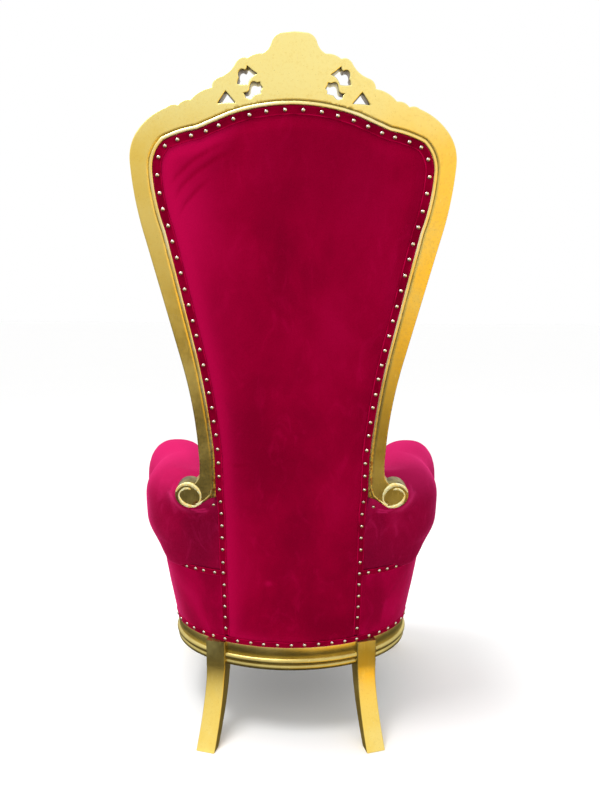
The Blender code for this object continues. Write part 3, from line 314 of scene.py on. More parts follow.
def seat_outline():
    """The barrel's plan at the rail's top, run anticlockwise, with the bowed front."""
    half = []
    for k in range(61):
        turn = math.pi / 2 * k / 60
        half.append((SEAT_HALF_WIDTH * math.sin(turn),
                     SEAT_WIDEST_Y + (SEAT_REAR_Y - SEAT_WIDEST_Y) * math.cos(turn)))
    for k in range(1, 19):
        y = SEAT_WIDEST_Y + (FRONT_CORNER_Y - SEAT_WIDEST_Y) * k / 18
        half.append((SEAT_HALF_WIDTH + SIDE_FLARE * (SEAT_WIDEST_Y - y), y))
    corner_x, front_y = half[-1][0], FRONT_CORNER_Y - FRONT_CORNER_RADIUS
    for k in range(1, 13):
        turn = math.pi / 2 * k / 12
        half.append((corner_x - FRONT_CORNER_RADIUS * (1 - math.cos(turn)),
                     FRONT_CORNER_Y - FRONT_CORNER_RADIUS * math.sin(turn)))
    front_half = corner_x - FRONT_CORNER_RADIUS
    for k in range(1, 41):
        x = front_half * (1 - k / 40)
        half.append((x, front_y - FRONT_BOW * (0.5 + 0.5 * math.cos(math.pi * x / front_half))))
    return anticlockwise(half + [(-x, y) for x, y in half[::-1] if x > 1e-6])


def rail_profile():
    """The rail's section as (offset outwards, height): a flat fascia, a quirk and two reeds."""
    back = FASCIA_PROUD - RAIL_DEPTH
    section = [(back, RAIL_TOP)]
    for degrees in (90, 60, 30, 0):
        turn = math.radians(degrees)
        section.append((FASCIA_PROUD - 0.003 + 0.003 * math.cos(turn), RAIL_TOP - 0.003 + 0.003 * math.sin(turn)))
    section += [(FASCIA_PROUD, RAIL_TOP - FASCIA_HEIGHT + 0.002), (FASCIA_PROUD - 0.002, RAIL_TOP - FASCIA_HEIGHT)]
    upper, lower = RAIL_TOP - FASCIA_HEIGHT - REED_RADIUS, RAIL_BOTTOM + REED_RADIUS + 0.002
    for centre_z, centre in ((upper, REED_CENTRE), (lower, REED_CENTRE + LOWER_REED_STEP)):
        for degrees in range(75, -76, -15):
            turn = math.radians(degrees)
            section.append((centre + REED_RADIUS * math.cos(turn), centre_z + REED_RADIUS * math.sin(turn)))
    return section + [(REED_CENTRE + LOWER_REED_STEP - 0.002, RAIL_BOTTOM), (back, RAIL_BOTTOM)]


outline = seat_outline()
profile = rail_profile()
rail_loops = [offset_loop(outline, -offset) for offset, _ in profile]
LEG_CENTRES = {"rear_left": (0.217, 0.12), "rear_right": (-0.217, 0.12), "front_left": (0.350, -0.345),
               "front_right": (-0.350, -0.345)}
nearest = {name: min(range(len(outline)), key=lambda k: math.dist(outline[k], place))
           for name, place in LEG_CENTRES.items()}
for name, first, last in (
    ("rear_rail", "rear_left", "rear_right"), ("side_rail_right", "rear_right", "front_right"),
    ("front_rail", "front_right", "front_left"), ("side_rail_left", "front_left", "rear_left"),
):
    count = (nearest[last] - nearest[first]) % len(outline)
    places = [(nearest[first] + k) % len(outline) for k in range(count + 1)]
    rings = [[(*rail_loops[p][k], z) for p, (_, z) in enumerate(profile)] for k in places]
    rail = add_object(f"gilt_{name}", loft(name, rings), rail_gold, 50)
    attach(rail, "root")
    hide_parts(name)


# The legs: two sabre legs behind, each sawn from one board, and two short cabriole legs in front, all gessoed and
# gilded, with the rails tenoned into their blocks.

REAR_LEG_X, REAR_LEG_TURN, REAR_LEG_WIDTH, REAR_LEG_DEPTH = 0.217, math.radians(15), 0.058, 0.050
REAR_FOOT_DEPTH, REAR_LEG_SWEEP = 0.036, 0.085
FRONT_LEG_TURN, FRONT_BLOCK, KNEE_REACH, ANKLE, TOE = math.radians(38), 0.062, 0.022, 0.032, 0.058
LEG_PROUD = FASCIA_PROUD - 0.003 + REED_RADIUS + 0.003
# Painted reflection: the legs toned to olive towards their tops.
leg_gold = gilding("leg_gold", 0.27, 0.10)


def rounded_block(half, rear, front, z, radius):
    """A block's section with rounded corners."""
    ring = []
    for sx, sy, start in ((1, 1, 0), (-1, 1, 90), (-1, -1, 180), (1, -1, 270)):
        for step in (0, 30, 60, 90):
            turn = math.radians(start + step)
            x = sx * (half - radius) + radius * math.cos(turn)
            y = (rear if sy > 0 else front) - sy * radius + radius * math.sin(turn)
            ring.append((x, y, z))
    return ring


def rear_leg_mesh():
    """From the block down to the foot's sawn end, whose edge is chamfered."""
    arris, taper, chamfer = 0.0028, 0.002, 0.0012
    rings = []
    for k in range(44):
        z = RAIL_TOP - 0.0005 if k == 0 else RAIL_BOTTOM * (1 - (k - 1) / 42)
        bend = (1 - z / RAIL_BOTTOM) ** 1.7 if z < RAIL_BOTTOM else 0.0
        rear = REAR_LEG_SWEEP * bend
        depth = REAR_LEG_DEPTH + (REAR_FOOT_DEPTH - REAR_LEG_DEPTH) * bend
        half = REAR_LEG_WIDTH / 2 - taper * min(k / 9, 1.0)
        inset = chamfer if k == 43 else 0.0
        rings.append(rounded_block(half - inset, rear - inset, rear - depth + inset, z, arris))
    foot = (REAR_LEG_WIDTH / 2 - taper, REAR_LEG_SWEEP, REAR_LEG_SWEEP - REAR_FOOT_DEPTH)
    rings.insert(-1, rounded_block(*foot, chamfer, arris))
    return loft("rear_leg", rings)


def smooth_stage(stages, share):
    """The row of stages at a share of the height, by a smooth curve through them."""
    for k in range(len(stages) - 1):
        if stages[k + 1][0] <= share <= stages[k][0]:
            t = (stages[k][0] - share) / (stages[k][0] - stages[k + 1][0])
            p = [stages[max(min(k + d, len(stages) - 1), 0)] for d in (-1, 0, 1, 2)]
            return [0.5 * (2 * b + (c - a) * t + (2 * a - 5 * b + 4 * c - d) * t**2 + (3 * b - a - 3 * c + d) * t**3)
                    for a, b, c, d in zip(*p)]
    return list(stages[-1])


def front_leg_mesh():
    """Each stage is the share of the height, how far the leg reaches outwards there, and its half width."""
    block = FRONT_BLOCK / 2
    stages = (
        (1.00, 0.0, block), (0.90, KNEE_REACH * 0.75, block * 1.02), (0.78, KNEE_REACH, block * 0.98),
        (0.64, KNEE_REACH * 0.62, block * 0.78), (0.50, KNEE_REACH * 0.10, block * 0.62),
        (0.36, -KNEE_REACH * 0.20, ANKLE * 0.52), (0.24, 0.0, ANKLE * 0.50), (0.14, KNEE_REACH * 0.55, TOE * 0.42),
        (0.06, KNEE_REACH * 0.9, TOE * 0.5), (0.0, KNEE_REACH * 0.8, TOE * 0.42),
    )
    rings = [rounded_block(block, block, -block, RAIL_TOP - 0.0005, 0.003)]
    for k in range(53):
        share = 1 - k / 52
        _, reach, half = smooth_stage(stages, share)
        corner = half * (0.12 + 0.70 * min(max((0.97 - share) / 0.12, 0.0), 1.0))
        rings.append(rounded_block(half, reach + half, reach - half, RAIL_BOTTOM * share, corner))
    return loft("front_leg", rings)


def leg_places():
    """Each leg's upright frame: its own +Y points outwards."""
    share = (REAR_LEG_X - REAR_LEG_WIDTH / 2 * math.cos(REAR_LEG_TURN)) / SEAT_HALF_WIDTH
    rear_y = SEAT_WIDEST_Y + (SEAT_REAR_Y - SEAT_WIDEST_Y) * math.sqrt(1 - share**2)
    rear_y += LEG_PROUD - REAR_LEG_WIDTH / 2 * math.sin(REAR_LEG_TURN)
    reach = FRONT_CORNER_RADIUS + LEG_PROUD - FRONT_BLOCK / 2
    front_x = SEAT_HALF_WIDTH + SIDE_FLARE * (SEAT_WIDEST_Y - FRONT_CORNER_Y) - FRONT_CORNER_RADIUS
    front_x += reach * math.sin(FRONT_LEG_TURN)
    front_y = FRONT_CORNER_Y - reach * math.cos(FRONT_LEG_TURN)
    for side, word in ((1, "left"), (-1, "right")):
        yield f"rear_leg_{word}", rear_leg_mesh, (side * REAR_LEG_X, rear_y), -side * REAR_LEG_TURN
        yield f"front_leg_{word}", front_leg_mesh, (side * front_x, front_y), math.pi + side * FRONT_LEG_TURN


for name, make, (x, y), turn in leg_places():
    mesh = make()
    mesh.transform(Matrix.Translation((x, y, 0.0)) @ Matrix.Rotation(turn, 4, "Z"))
    leg = add_object(f"gilt_{name}", mesh, leg_gold, 38)
    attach(leg, "root")
    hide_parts(name)


# The seat base and dust cover: a base of sawn boards, left raw and screwed inside the rails, and a black non-woven
# cloth that is tacked under them to keep the dust out.

sawn_board, shader, place = new_material("sawn_board", Roughness=0.8)
grain = place.stretched(6.0, 90.0, 40.0).clouds(1.0, 5.0, 0.6, 0.4)
plug(shader, Base_Color=grain.node("ValToRGB", {"stops": [
    (0.25, (0.24, 0.14, 0.065)), (0.5, (0.46, 0.31, 0.17)), (0.8, (0.58, 0.42, 0.25))]}, {0: grain}),
     Roughness=grain.over(0.2, 0.8, 0.7, 0.9), Normal=bump(grain, 0.3, 0.001))
seat_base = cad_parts["seat_base"]
seat_base.data.materials.clear()
seat_base.data.materials.append(sawn_board)

black_cloth, shader, place = new_material("black_cloth", Roughness=0.95, Specular_IOR_Level=0.2)
fibres = place.clouds(700.0, 3.0, 0.7)
dents = place.node("TexVoronoi", {}, {"Vector": place, "Scale": 260.0})
plug(shader, Base_Color=fibres.mix((0.010, 0.010, 0.011), (0.045, 0.045, 0.048)),
     Normal=bump(fibres * 0.4 + dents, 0.35, 0.0006))
dust_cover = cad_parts["dust_cover"]
dust_cover.data.materials.clear()
dust_cover.data.materials.append(black_cloth)


# The back frame: crest, stiles and volutes sawn from one board, pierced, carved on the front, flat behind with a bead
# and a quirk along the velvet, gessoed and gilded. The burnished bead and volute rims are brightest, with a painted
# highlight, the quirk and the volutes' side walls carry painted shade, and the piercings' walls are painted dark
# brown.

BACK_LEAN = math.radians(9.0)
ARM_TOP, VOLUTE_HEIGHT, WAIST_HEIGHT, SHOULDER_HEIGHT, CREST_TOP = 0.790, 0.747, 0.860, 1.540, 1.799
SHOULDER_HALF_WIDTH, WAIST_HALF_WIDTH, WAIST_STILE_WIDTH, SHOULDER_STILE_WIDTH = 0.363, 0.237, 0.040, 0.049
CREST_RAIL_DEPTH, FRAME_THICKNESS, CARVING_HEIGHT = 0.140, 0.042, 0.012
VOLUTE_HALF_SPACING, VOLUTE_RADIUS, VOLUTE_RIM_RADIUS, VOLUTE_RIM_FLATNESS = 0.267, 0.035, 0.0050, 0.7
BEAD_WIDTH, QUIRK_WIDTH = 0.0075, 0.0026
FRAME_ARRIS, EDGE_STEP, FACE_STEP = 0.0018, 0.0052, 0.0065
back_plane = Matrix.Translation((0.0, SEAT_REAR_Y, RAIL_TOP)) @ Matrix.Rotation(math.pi / 2 - BACK_LEAN, 4, "X")
# Painted reflection and highlight: the frame toned to olive from 1.28 m down to 0.78 m, and paler above 1.53 m on the
# crest.
frame_gold = gilding("frame_gold", 0.78, 1.28, painted_highlight_above=1.53, wear_and_painted_light=0.8)


def smooth(share):
    share = np.clip(share, 0.0, 1.0)
    return share * share * (3 - 2 * share)


def up_slope(z):
    """How far up the leaning back a height above the floor lies."""
    return (z - RAIL_TOP) / math.cos(BACK_LEAN)


def height_of(s):
    """The height above the floor at a distance up the leaning back."""
    return RAIL_TOP + s * math.cos(BACK_LEAN)


def points_of(mesh):
    places = np.empty(len(mesh.vertices) * 3)
    mesh.vertices.foreach_get("co", places)
    return places.reshape(-1, 3)


def distance_to(loop, points, closed=True):
    """Each point's distance to a loop, or to an open path."""
    starts = np.array(loop)
    ends = np.roll(starts, -1, axis=0)
    if not closed:
        starts, ends = starts[:-1], ends[:-1]
    run = ends - starts
    length = np.maximum((run**2).sum(1), 1e-12)
    points = np.asarray(points, dtype=float)
    nearest = np.zeros(len(points))
    for k in range(0, len(points), 2000):
        some = points[k:k + 2000, None] - starts[None]
        share = np.clip((some * run).sum(2) / length, 0, 1)
        nearest[k:k + 2000] = np.sqrt(((some - share[..., None] * run) ** 2).sum(2)).min(1)
    return nearest


def inside(loop, points):
    points = np.asarray(points, dtype=float)
    starts = np.array(loop)
    ends = np.roll(starts, -1, axis=0)
    within = np.zeros(len(points), dtype=bool)
    for k in range(0, len(points), 4000):
        x, y = points[k:k + 4000, :1], points[k:k + 4000, 1:]
        rising = ends[:, 1] - starts[:, 1]
        rising = np.where(np.abs(rising) < 1e-12, 1e-12, rising)
        crossing = (starts[:, 0] + (y - starts[:, 1]) * (ends[:, 0] - starts[:, 0]) / rising)
        hits = ((starts[:, 1] > y) != (ends[:, 1] > y)) & (x < crossing)
        within[k:k + 4000] = hits.sum(1) % 2 == 1
    return within


def board(name, loops, rear, front, arris, insets, pitch):
    """A board over a flat outline with holes. rear and front give the depths at points, and the edges are rounded
    by arris. Its points follow the outline at each inset, and are pitch apart further in."""
    loops = [anticlockwise(loops[0])] + [anticlockwise(hole)[::-1] for hole in loops[1:]]
    inner = [offset_loop(loop, arris) for loop in loops]
    loose = []
    for inset in insets:
        ring = np.array([p for loop in loops for p in offset_loop(loop, inset)])
        near = np.min([distance_to(loop, ring) for loop in loops], axis=0)
        loose.append(ring[near > inset * 0.93])
    lowest, highest = np.min(loops[0], axis=0), np.max(loops[0], axis=0)
    rows = np.arange(lowest[1], highest[1], pitch * 0.866)
    columns = np.arange(lowest[0], highest[0], pitch)
    grid = np.array([(x + pitch / 2 * (k % 2), y) for k, y in enumerate(rows) for x in columns])
    near = np.min([distance_to(loop, grid) for loop in loops], axis=0)
    loose.append(grid[near > max(insets) + pitch * 0.6])
    loose = np.concatenate(loose)
    keep = inside(loops[0], loose)
    for hole in loops[1:]:
        keep &= ~inside(hole, loose)
    loose = loose[keep]
    points, edges = [], []
    for loop in inner:
        start = len(points)
        points += loop
        edges += [(start + k, start + (k + 1) % len(loop)) for k in range(len(loop))]
    total = len(points)
    made = delaunay_2d_cdt([Vector(p) for p in points] + [Vector(p) for p in loose], edges, [], 0, 1e-7)
    corners = np.array([tuple(p) for p in made[0]])
    faces = np.array(made[2])
    middles = corners[faces].mean(axis=1)
    keep = inside(inner[0], middles)
    for hole in inner[1:]:
        keep &= ~inside(hole, middles)
    faces = faces[keep]
    count = len(corners)
    rear_face = np.column_stack([corners, rear(corners)])
    front_face = np.column_stack([corners, front(corners)])
    vertices = [rear_face, front_face]
    all_faces = [tuple(face) for face in faces[:, ::-1]] + [tuple(face) for face in faces + count]
    rings = [0]
    walls = 2 * count
    for depth, sign in ((rear_face[:total, 2], 1), (front_face[:total, 2], -1)):
        for degrees in ((60, 30, 0) if sign > 0 else (0, 30, 60)):
            turn = math.radians(degrees)
            ring = np.array([p for loop in loops for p in offset_loop(loop, arris * (1 - math.cos(turn)))])
            vertices.append(np.column_stack([ring, depth + sign * arris * (1 - math.sin(turn))]))
            rings.append(walls)
            walls += total
    rings.append(count)
    for low, high in zip(rings, rings[1:]):
        done = 0
        for loop in loops:
            n = len(loop)
            all_faces += [(low + done + k, low + done + (k + 1) % n, high + done + (k + 1) % n, high + done + k)
                          for k in range(n)]
            done += n
    return outward_mesh(name, np.concatenate(vertices), all_faces)


def frame_outer_half():
    """The frame's outer edge from the crest's middle to the crevice above the volute, in x and height."""
    rise, wide = CREST_TOP - SHOULDER_HEIGHT, SHOULDER_HALF_WIDTH
    crest = (
        (0.000, 1.000, 0.01), (0.083, 0.990, 0.14), (0.136, 0.914, -0.10), (0.186, 0.842, 0.09),
        (0.275, 0.806, 0.17), (0.340, 0.780, -0.10), (0.440, 0.665, 0.17), (0.487, 0.586, 0.09),
        (0.615, 0.494, 0.13), (0.692, 0.452, 0.14), (0.756, 0.438, 0.065), (0.930, 0.272, 0.10),
    )
    span, swell = SHOULDER_HEIGHT - WAIST_HEIGHT, SHOULDER_HALF_WIDTH - WAIST_HALF_WIDTH
    points = [(wide * x, SHOULDER_HEIGHT + rise * h, bulge) for x, h, bulge in crest]
    points += [(wide, SHOULDER_HEIGHT, 0.028),
               (WAIST_HALF_WIDTH + swell * 0.805, WAIST_HEIGHT + span * 0.762, 0.0),
               (WAIST_HALF_WIDTH + swell * 0.268, WAIST_HEIGHT + span * 0.354, -0.026)]
    turn = math.radians(117)
    x, z = VOLUTE_HALF_SPACING + VOLUTE_RADIUS * math.cos(turn), VOLUTE_HEIGHT + VOLUTE_RADIUS * math.sin(turn)
    points += [(WAIST_HALF_WIDTH, WAIST_HEIGHT, -0.02), (WAIST_HALF_WIDTH, z + 0.030, -0.12), (x, z, 0.0)]
    return arc_path(points, EDGE_STEP)


def volute_and_hook():
    """Round the volute and along the hook under the stile, to the frame's inner edge."""
    path = []
    for k in range(1, 41):
        turn = math.radians(117 - 217 * k / 40)
        path.append((VOLUTE_HALF_SPACING + VOLUTE_RADIUS * math.cos(turn),
                     VOLUTE_HEIGHT + VOLUTE_RADIUS * math.sin(turn)))
    inner = WAIST_HALF_WIDTH - WAIST_STILE_WIDTH
    return path + arc_path([(*path[-1], -0.05), (inner, VOLUTE_HEIGHT - VOLUTE_RADIUS * 0.17, 0.0)], 0.004)[1:]


def opening_half():
    """The opening's edge from the stile's foot up to the crest's middle."""
    inner, shoulder = WAIST_HALF_WIDTH - WAIST_STILE_WIDTH, SHOULDER_HALF_WIDTH - SHOULDER_STILE_WIDTH
    swell, span, top = shoulder - inner, SHOULDER_HEIGHT - WAIST_HEIGHT, CREST_TOP - CREST_RAIL_DEPTH
    drop = top - SHOULDER_HEIGHT
    return arc_path([
        (inner, VOLUTE_HEIGHT - VOLUTE_RADIUS * 0.17, 0.0), (inner, WAIST_HEIGHT - 0.010, 0.016),
        (inner + swell * 0.307, WAIST_HEIGHT + span * 0.384, 0.0),
        (inner + swell * 0.807, WAIST_HEIGHT + span * 0.788, -0.036), (shoulder, SHOULDER_HEIGHT - 0.020, -0.118),
        (shoulder * 0.913, SHOULDER_HEIGHT + drop * 0.383, -0.036),
        (shoulder * 0.675, SHOULDER_HEIGHT + drop * 0.574, 0.0),
        (shoulder * 0.444, SHOULDER_HEIGHT + drop * 0.817, -0.038), (0.0, top, 0.0),
    ], EDGE_STEP)


def piercings():
    """The pierced openings on one side of the crest, in shares of the shoulder's half width and the rise."""
    triangle = ((0.456, 0.463, 0.0), (0.406, 0.557, 0.0), (0.350, 0.470, 0.03))
    leaf = (
        (0.336, 0.612, -0.05), (0.325, 0.660, -0.10), (0.327, 0.697, -0.2), (0.302, 0.720, 0.1), (0.287, 0.712, 0.1),
        (0.277, 0.745, 0.0), (0.252, 0.718, 0.04), (0.217, 0.688, 0.14), (0.272, 0.614, -0.04),
    )
    scroll = (
        (0.262, 0.592, -0.28), (0.300, 0.546, -0.12), (0.288, 0.510, 0.0), (0.264, 0.500, 0.10), (0.236, 0.533, 0.0),
        (0.197, 0.545, -0.20), (0.186, 0.585, -0.12), (0.201, 0.626, 0.0), (0.220, 0.620, 0.35),
    )
    rise = CREST_TOP - SHOULDER_HEIGHT
    for shape in (triangle, leaf, scroll):
        corners = [(SHOULDER_HALF_WIDTH * x, SHOULDER_HEIGHT + rise * h, bulge) for x, h, bulge in shape]
        yield arc_path(corners + corners[:1], 0.0035)[:-1]


def on_slope(loop):
    """A loop's heights above the floor as distances up the leaning back."""
    return [(x, up_slope(z)) for x, z in loop]


def petal(x, z, root, tip, width):
    """The height, from 0 to 1, of a ridged and veined leaf that runs from root to tip."""
    run = np.subtract(tip, root)
    length = math.hypot(*run)
    along = ((x - root[0]) * run[0] + (z - root[1]) * run[1]) / length**2
    across = np.abs(run[0] * (z - root[1]) - run[1] * (x - root[0])) / length
    half = width * np.sin(math.pi * np.clip(along, 1e-6, 1) ** 0.8)
    share = np.clip(1 - across / np.maximum(half, 1e-6), 0, 1)
    vein = 1 - 0.25 * np.cos(along * 40 + across / width * 3) ** 2 * (share < 0.8)
    return np.where((along > 0) & (along < 1), share**0.7 * (0.45 + 0.55 * along) * vein, 0.0)


def crest_relief(x, z):
    """How far the carving stands above the crest's front, in shares of its height: a fan, bosses and leaves."""
    x = np.abs(x) / SHOULDER_HALF_WIDTH
    z = (z - SHOULDER_HEIGHT) / (CREST_TOP - SHOULDER_HEIGHT)
    fan = np.hypot(x, (z - 0.52) * 0.71)
    turn = np.arctan2(x, np.maximum((z - 0.52) * 0.71, 1e-6))
    height = (0.35 + 0.65 * np.abs(np.cos(turn * 4.5))) * smooth(fan / 0.08) * smooth((0.30 - fan) / 0.05)
    height = height * (z > 0.52)
    for rise, middle, wide, tall in ((1.3, 0.0, 0.075, 0.13), (1.1, 0.245, 0.042, 0.060)):
        boss = np.sqrt(np.clip(1 - ((x - middle) / wide) ** 2 - ((z - 0.60) / tall) ** 2, 0, 1))
        height = np.maximum(height, rise * boss)
    leaves = (
        ((0.16, 0.52), (0.30, 0.80), 0.045), ((0.36, 0.60), (0.36, 0.77), 0.04), ((0.34, 0.56), (0.46, 0.66), 0.04),
        ((0.45, 0.52), (0.55, 0.52), 0.035), ((0.48, 0.42), (0.66, 0.46), 0.045), ((0.56, 0.38), (0.75, 0.42), 0.045),
        ((0.40, 0.34), (0.90, 0.26), 0.05), ((0.10, 0.46), (0.42, 0.44), 0.03),
    )
    for root, tip, width in leaves:
        height = np.maximum(height, petal(x, z, root, tip, width))
    return height


half = frame_outer_half() + volute_and_hook() + opening_half()[1:]
frame_outline = on_slope(half + [(-x, z) for x, z in half[::-1] if x > 1e-6])
holes = [on_slope(hole) for hole in piercings()]
holes += [[(-x, s) for x, s in hole[::-1]] for hole in holes]
opening_edge = on_slope([(-x, z) for x, z in opening_half()] + opening_half()[-2::-1])
hook_edge = on_slope(volute_and_hook()[39:])


def frame_rear(points):
    """The rear face: flat, with a proud bead along the opening and a quirk outside it, both fading at the foot."""
    from_opening = distance_to(opening_edge, points, closed=False)
    fade = smooth((points[:, 1] - 0.52) / 0.20) * 0.75 + 0.25
    across = np.clip((from_opening - BEAD_WIDTH / 2) / (BEAD_WIDTH / 2), -1, 1)
    bead = 0.0013 * np.sqrt(1 - across**2)
    quirk = 0.0011 * np.clip(1 - np.abs(from_opening - BEAD_WIDTH - QUIRK_WIDTH / 2) / (QUIRK_WIDTH * 0.6), 0, 1)
    return (quirk - bead) * fade


def frame_front(points):
    """The front: crowned towards its edges, with the carving on the crest."""
    edge = np.min([distance_to(loop, points) for loop in [frame_outline] + holes], axis=0)
    relief = CARVING_HEIGHT * crest_relief(points[:, 0], height_of(points[:, 1]))
    return FRAME_THICKNESS + 0.006 * np.sqrt(smooth(edge / 0.014)) + relief * smooth(edge / 0.008)


def lengths_along(path):
    """Each point's distance along the path from its start."""
    return np.concatenate([[0.0], np.cumsum(np.linalg.norm(np.diff(path, axis=0), axis=1))])


def at_lengths(rows, lengths, wanted):
    """The rows, which stand at lengths along a path, read at the wanted lengths."""
    return np.stack([np.interp(wanted, lengths, column) for column in np.asarray(rows).T], axis=1)


def resampled(path, pitch):
    """The path's points at an even pitch."""
    lengths = lengths_along(path)
    count = max(2, int(round(lengths[-1] / pitch)) + 1)
    return at_lengths(path, lengths, np.linspace(0.0, lengths[-1], count))


# Each rim is laid in two strokes: (degrees round the volute, distance from its middle and half width, in shares)
OVER_STROKE = ((163, 0.95, 0.34), (136, 0.92, 0.66), (92, 0.87, 0.98), (53, 0.80, 1.10), (21, 0.81, 0.84),
               (-8, 0.88, 0.50), (-27, 0.94, 0.42), (-42, 0.95, 0.40), (-56, 0.88, 0.28))
UNDER_STROKE = ((-62, 1.02, 0.50), (-74, 0.94, 0.74), (-92, 0.86, 0.96), (-121, 0.78, 1.00), (-150, 0.72, 0.74),
                (-180, 0.72, 0.40), (-200, 0.67, 0.38), (-222, 0.60, 0.56), (-246, 0.57, 0.68), (-270, 0.52, 0.66),
                (-290, 0.47, 0.30))
BEAD_RUN = ((0.2005, 0.860, 0.40), (0.2005, 0.805, 0.62), (0.2030, 0.768, 0.76), (0.2105, 0.7462, 0.80),
            (0.2235, 0.7345, 0.66))


def volute_strokes(side):
    """The carved rims on a volute's rear face: one over the top, and one that comes down the stile's inner edge,
    runs along the hook and coils in to a curled end."""
    strokes = []
    for stages, lead in ((OVER_STROKE, ()), (UNDER_STROKE, BEAD_RUN)):
        degrees, reach, width = np.array(stages).T
        stroke = list(lead)
        for turned in np.linspace(degrees[0], degrees[-1], 90 if lead else 80):
            radius = VOLUTE_RADIUS * np.interp(-turned, -degrees, reach)
            turn = math.radians(180 - turned)
            stroke.append((VOLUTE_HALF_SPACING + radius * math.cos(turn), VOLUTE_HEIGHT + radius * math.sin(turn),
                           np.interp(-turned, -degrees, width)))
        strokes.append(resampled(stroke, 0.0019))
    line = bpy.data.curves.new("volute_rim", "CURVE")
    line.dimensions, line.bevel_depth, line.bevel_resolution, line.use_fill_caps = "3D", VOLUTE_RIM_RADIUS, 4, True
    for stroke in strokes:
        for _ in range(3):
            stroke[1:-1] = (stroke[:-2] + stroke[1:-1] * 2 + stroke[2:]) / 4
        spline = line.splines.new("POLY")
        spline.points.add(len(stroke) - 1)
        for point, (x, z, width) in zip(spline.points, stroke):
            point.co = (side * x, up_slope(z), 0.0008, 1.0)
            point.radius = width
    holder = bpy.data.objects.new("volute_rim", line)
    scene.collection.objects.link(holder)
    graph = bpy.context.evaluated_depsgraph_get()
    mesh = bpy.data.meshes.new_from_object(holder.evaluated_get(graph))
    bpy.data.objects.remove(holder)
    mesh.transform(Matrix.Scale(VOLUTE_RIM_FLATNESS, 4, (0, 0, 1)))
    return mesh


frame_mesh = board("gilded_back_frame", [frame_outline] + holes, frame_rear, frame_front, FRAME_ARRIS,
                   (0.0036, 0.0062, 0.0075, 0.0084, 0.0093, 0.0105, 0.0145), FACE_STEP)
places = points_of(frame_mesh)
from_opening = distance_to(opening_edge, places[:, :2], closed=False)
at_rear = places[:, 2] < 0.0014
from_hook = distance_to(hook_edge, np.column_stack([np.abs(places[:, 0]), places[:, 1]]), closed=False)
edge_low = smooth((0.86 - places[:, 1]) / 0.22) * np.exp(-((from_opening / 0.0095) ** 4)) * at_rear
edge_low = np.maximum(edge_low, np.exp(-((from_hook / 0.0055) ** 4)) * at_rear)
in_hole = np.min([distance_to(hole, places[:, :2]) for hole in holes], axis=0) < 0.0012
pierced_wall_mask = in_hole * (places[:, 2] > 0.0011) * (places[:, 2] < FRAME_THICKNESS)
# The quirk beside the bead, where shade is painted.
quirk_mask = np.clip(1 - np.abs(from_opening - BEAD_WIDTH - QUIRK_WIDTH / 2) / (QUIRK_WIDTH * 0.75), 0, 1) * at_rear
# Painted highlight on the bead along the opening, fading towards the foot, in patches.
bead_mask = (from_opening < BEAD_WIDTH) * at_rear
high = smooth((places[:, 1] - 0.52) / 0.20)
highlight_patches = np.array([noise.noise(Vector((x * 14, y * 14, 3.0))) for x, y, _ in places])
round_volute = np.column_stack([np.abs(places[:, 0]) - VOLUTE_HALF_SPACING,
                                height_of(places[:, 1]) - VOLUTE_HEIGHT]) / VOLUTE_RADIUS
reach = np.linalg.norm(round_volute, axis=1)
bearing = np.degrees(np.arctan2(round_volute[:, 1], -round_volute[:, 0]))
stain = np.exp(-(((reach - 0.80) / 0.13) ** 2)) * at_rear
stain *= np.maximum(np.exp(-(((bearing + 50) / 26) ** 2)), np.exp(-(((np.abs(bearing) - 172) / 18) ** 2)))
edge_low = np.maximum(edge_low, 0.9 * stain)
from_outer = distance_to(frame_outline, places[:, :2])
edge_low = np.maximum(edge_low, 0.75 * (from_outer < 0.0019) * at_rear * (places[:, 1] < 0.75))
# The volutes' side walls, and the quirk above the foot, take painted shade.
volute_wall = (reach < 1.05) * (reach > 0.93) * (places[:, 2] > 0.0017)
wear_and_painted_light = {"worn_edge": edge_low, "painted_groove_shade": np.maximum(quirk_mask * high, volute_wall), "sawn": pierced_wall_mask,
        "burnished": bead_mask * high * np.clip(0.62 + highlight_patches, 0.25, 1.0)}
shape = bmesh.new()
shape.from_mesh(frame_mesh)
count = len(shape.verts)
for side in (1, -1):
    shape.from_mesh(volute_strokes(side))
layers = {name: shape.verts.layers.float.new(name) for name in wear_and_painted_light}
for k, vertex in enumerate(shape.verts):
    if k < count:
        shares = {name: float(values[k]) for name, values in wear_and_painted_light.items()}
    else:
        from_eye = math.hypot(abs(vertex.co.x) - VOLUTE_HALF_SPACING, height_of(vertex.co.y) - VOLUTE_HEIGHT)
        # Painted highlight on the volute rims round the eye, wear on the rest of the strokes.
        shares = {"burnished": 2.0} if from_eye < VOLUTE_RADIUS * 1.12 else {"worn_edge": 0.8}
    for name, share in shares.items():
        vertex[layers[name]] = share
shape.to_mesh(frame_mesh)
shape.free()
frame_mesh.transform(back_plane)
back_frame = add_object("gilded_back_frame", frame_mesh, frame_gold, 32)
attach(back_frame, "root")
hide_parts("back_frame")


# The outside back: one piece of crimson velvet stretched over wadding from the crest down to the rail, tacked under
# a folded nailing strip.

BACK_PANEL_HALF_WIDTH, PANEL_THICKNESS, PANEL_RECESS, PANEL_CROWN = 0.195, 0.018, 0.004, 0.005
STRIP_WIDTH, SEAM, ARM_UNDERSIDE, SIDE_LEAN, BARREL_ROUNDNESS = 0.019, 0.0008, 0.520, 0.15, 2.8


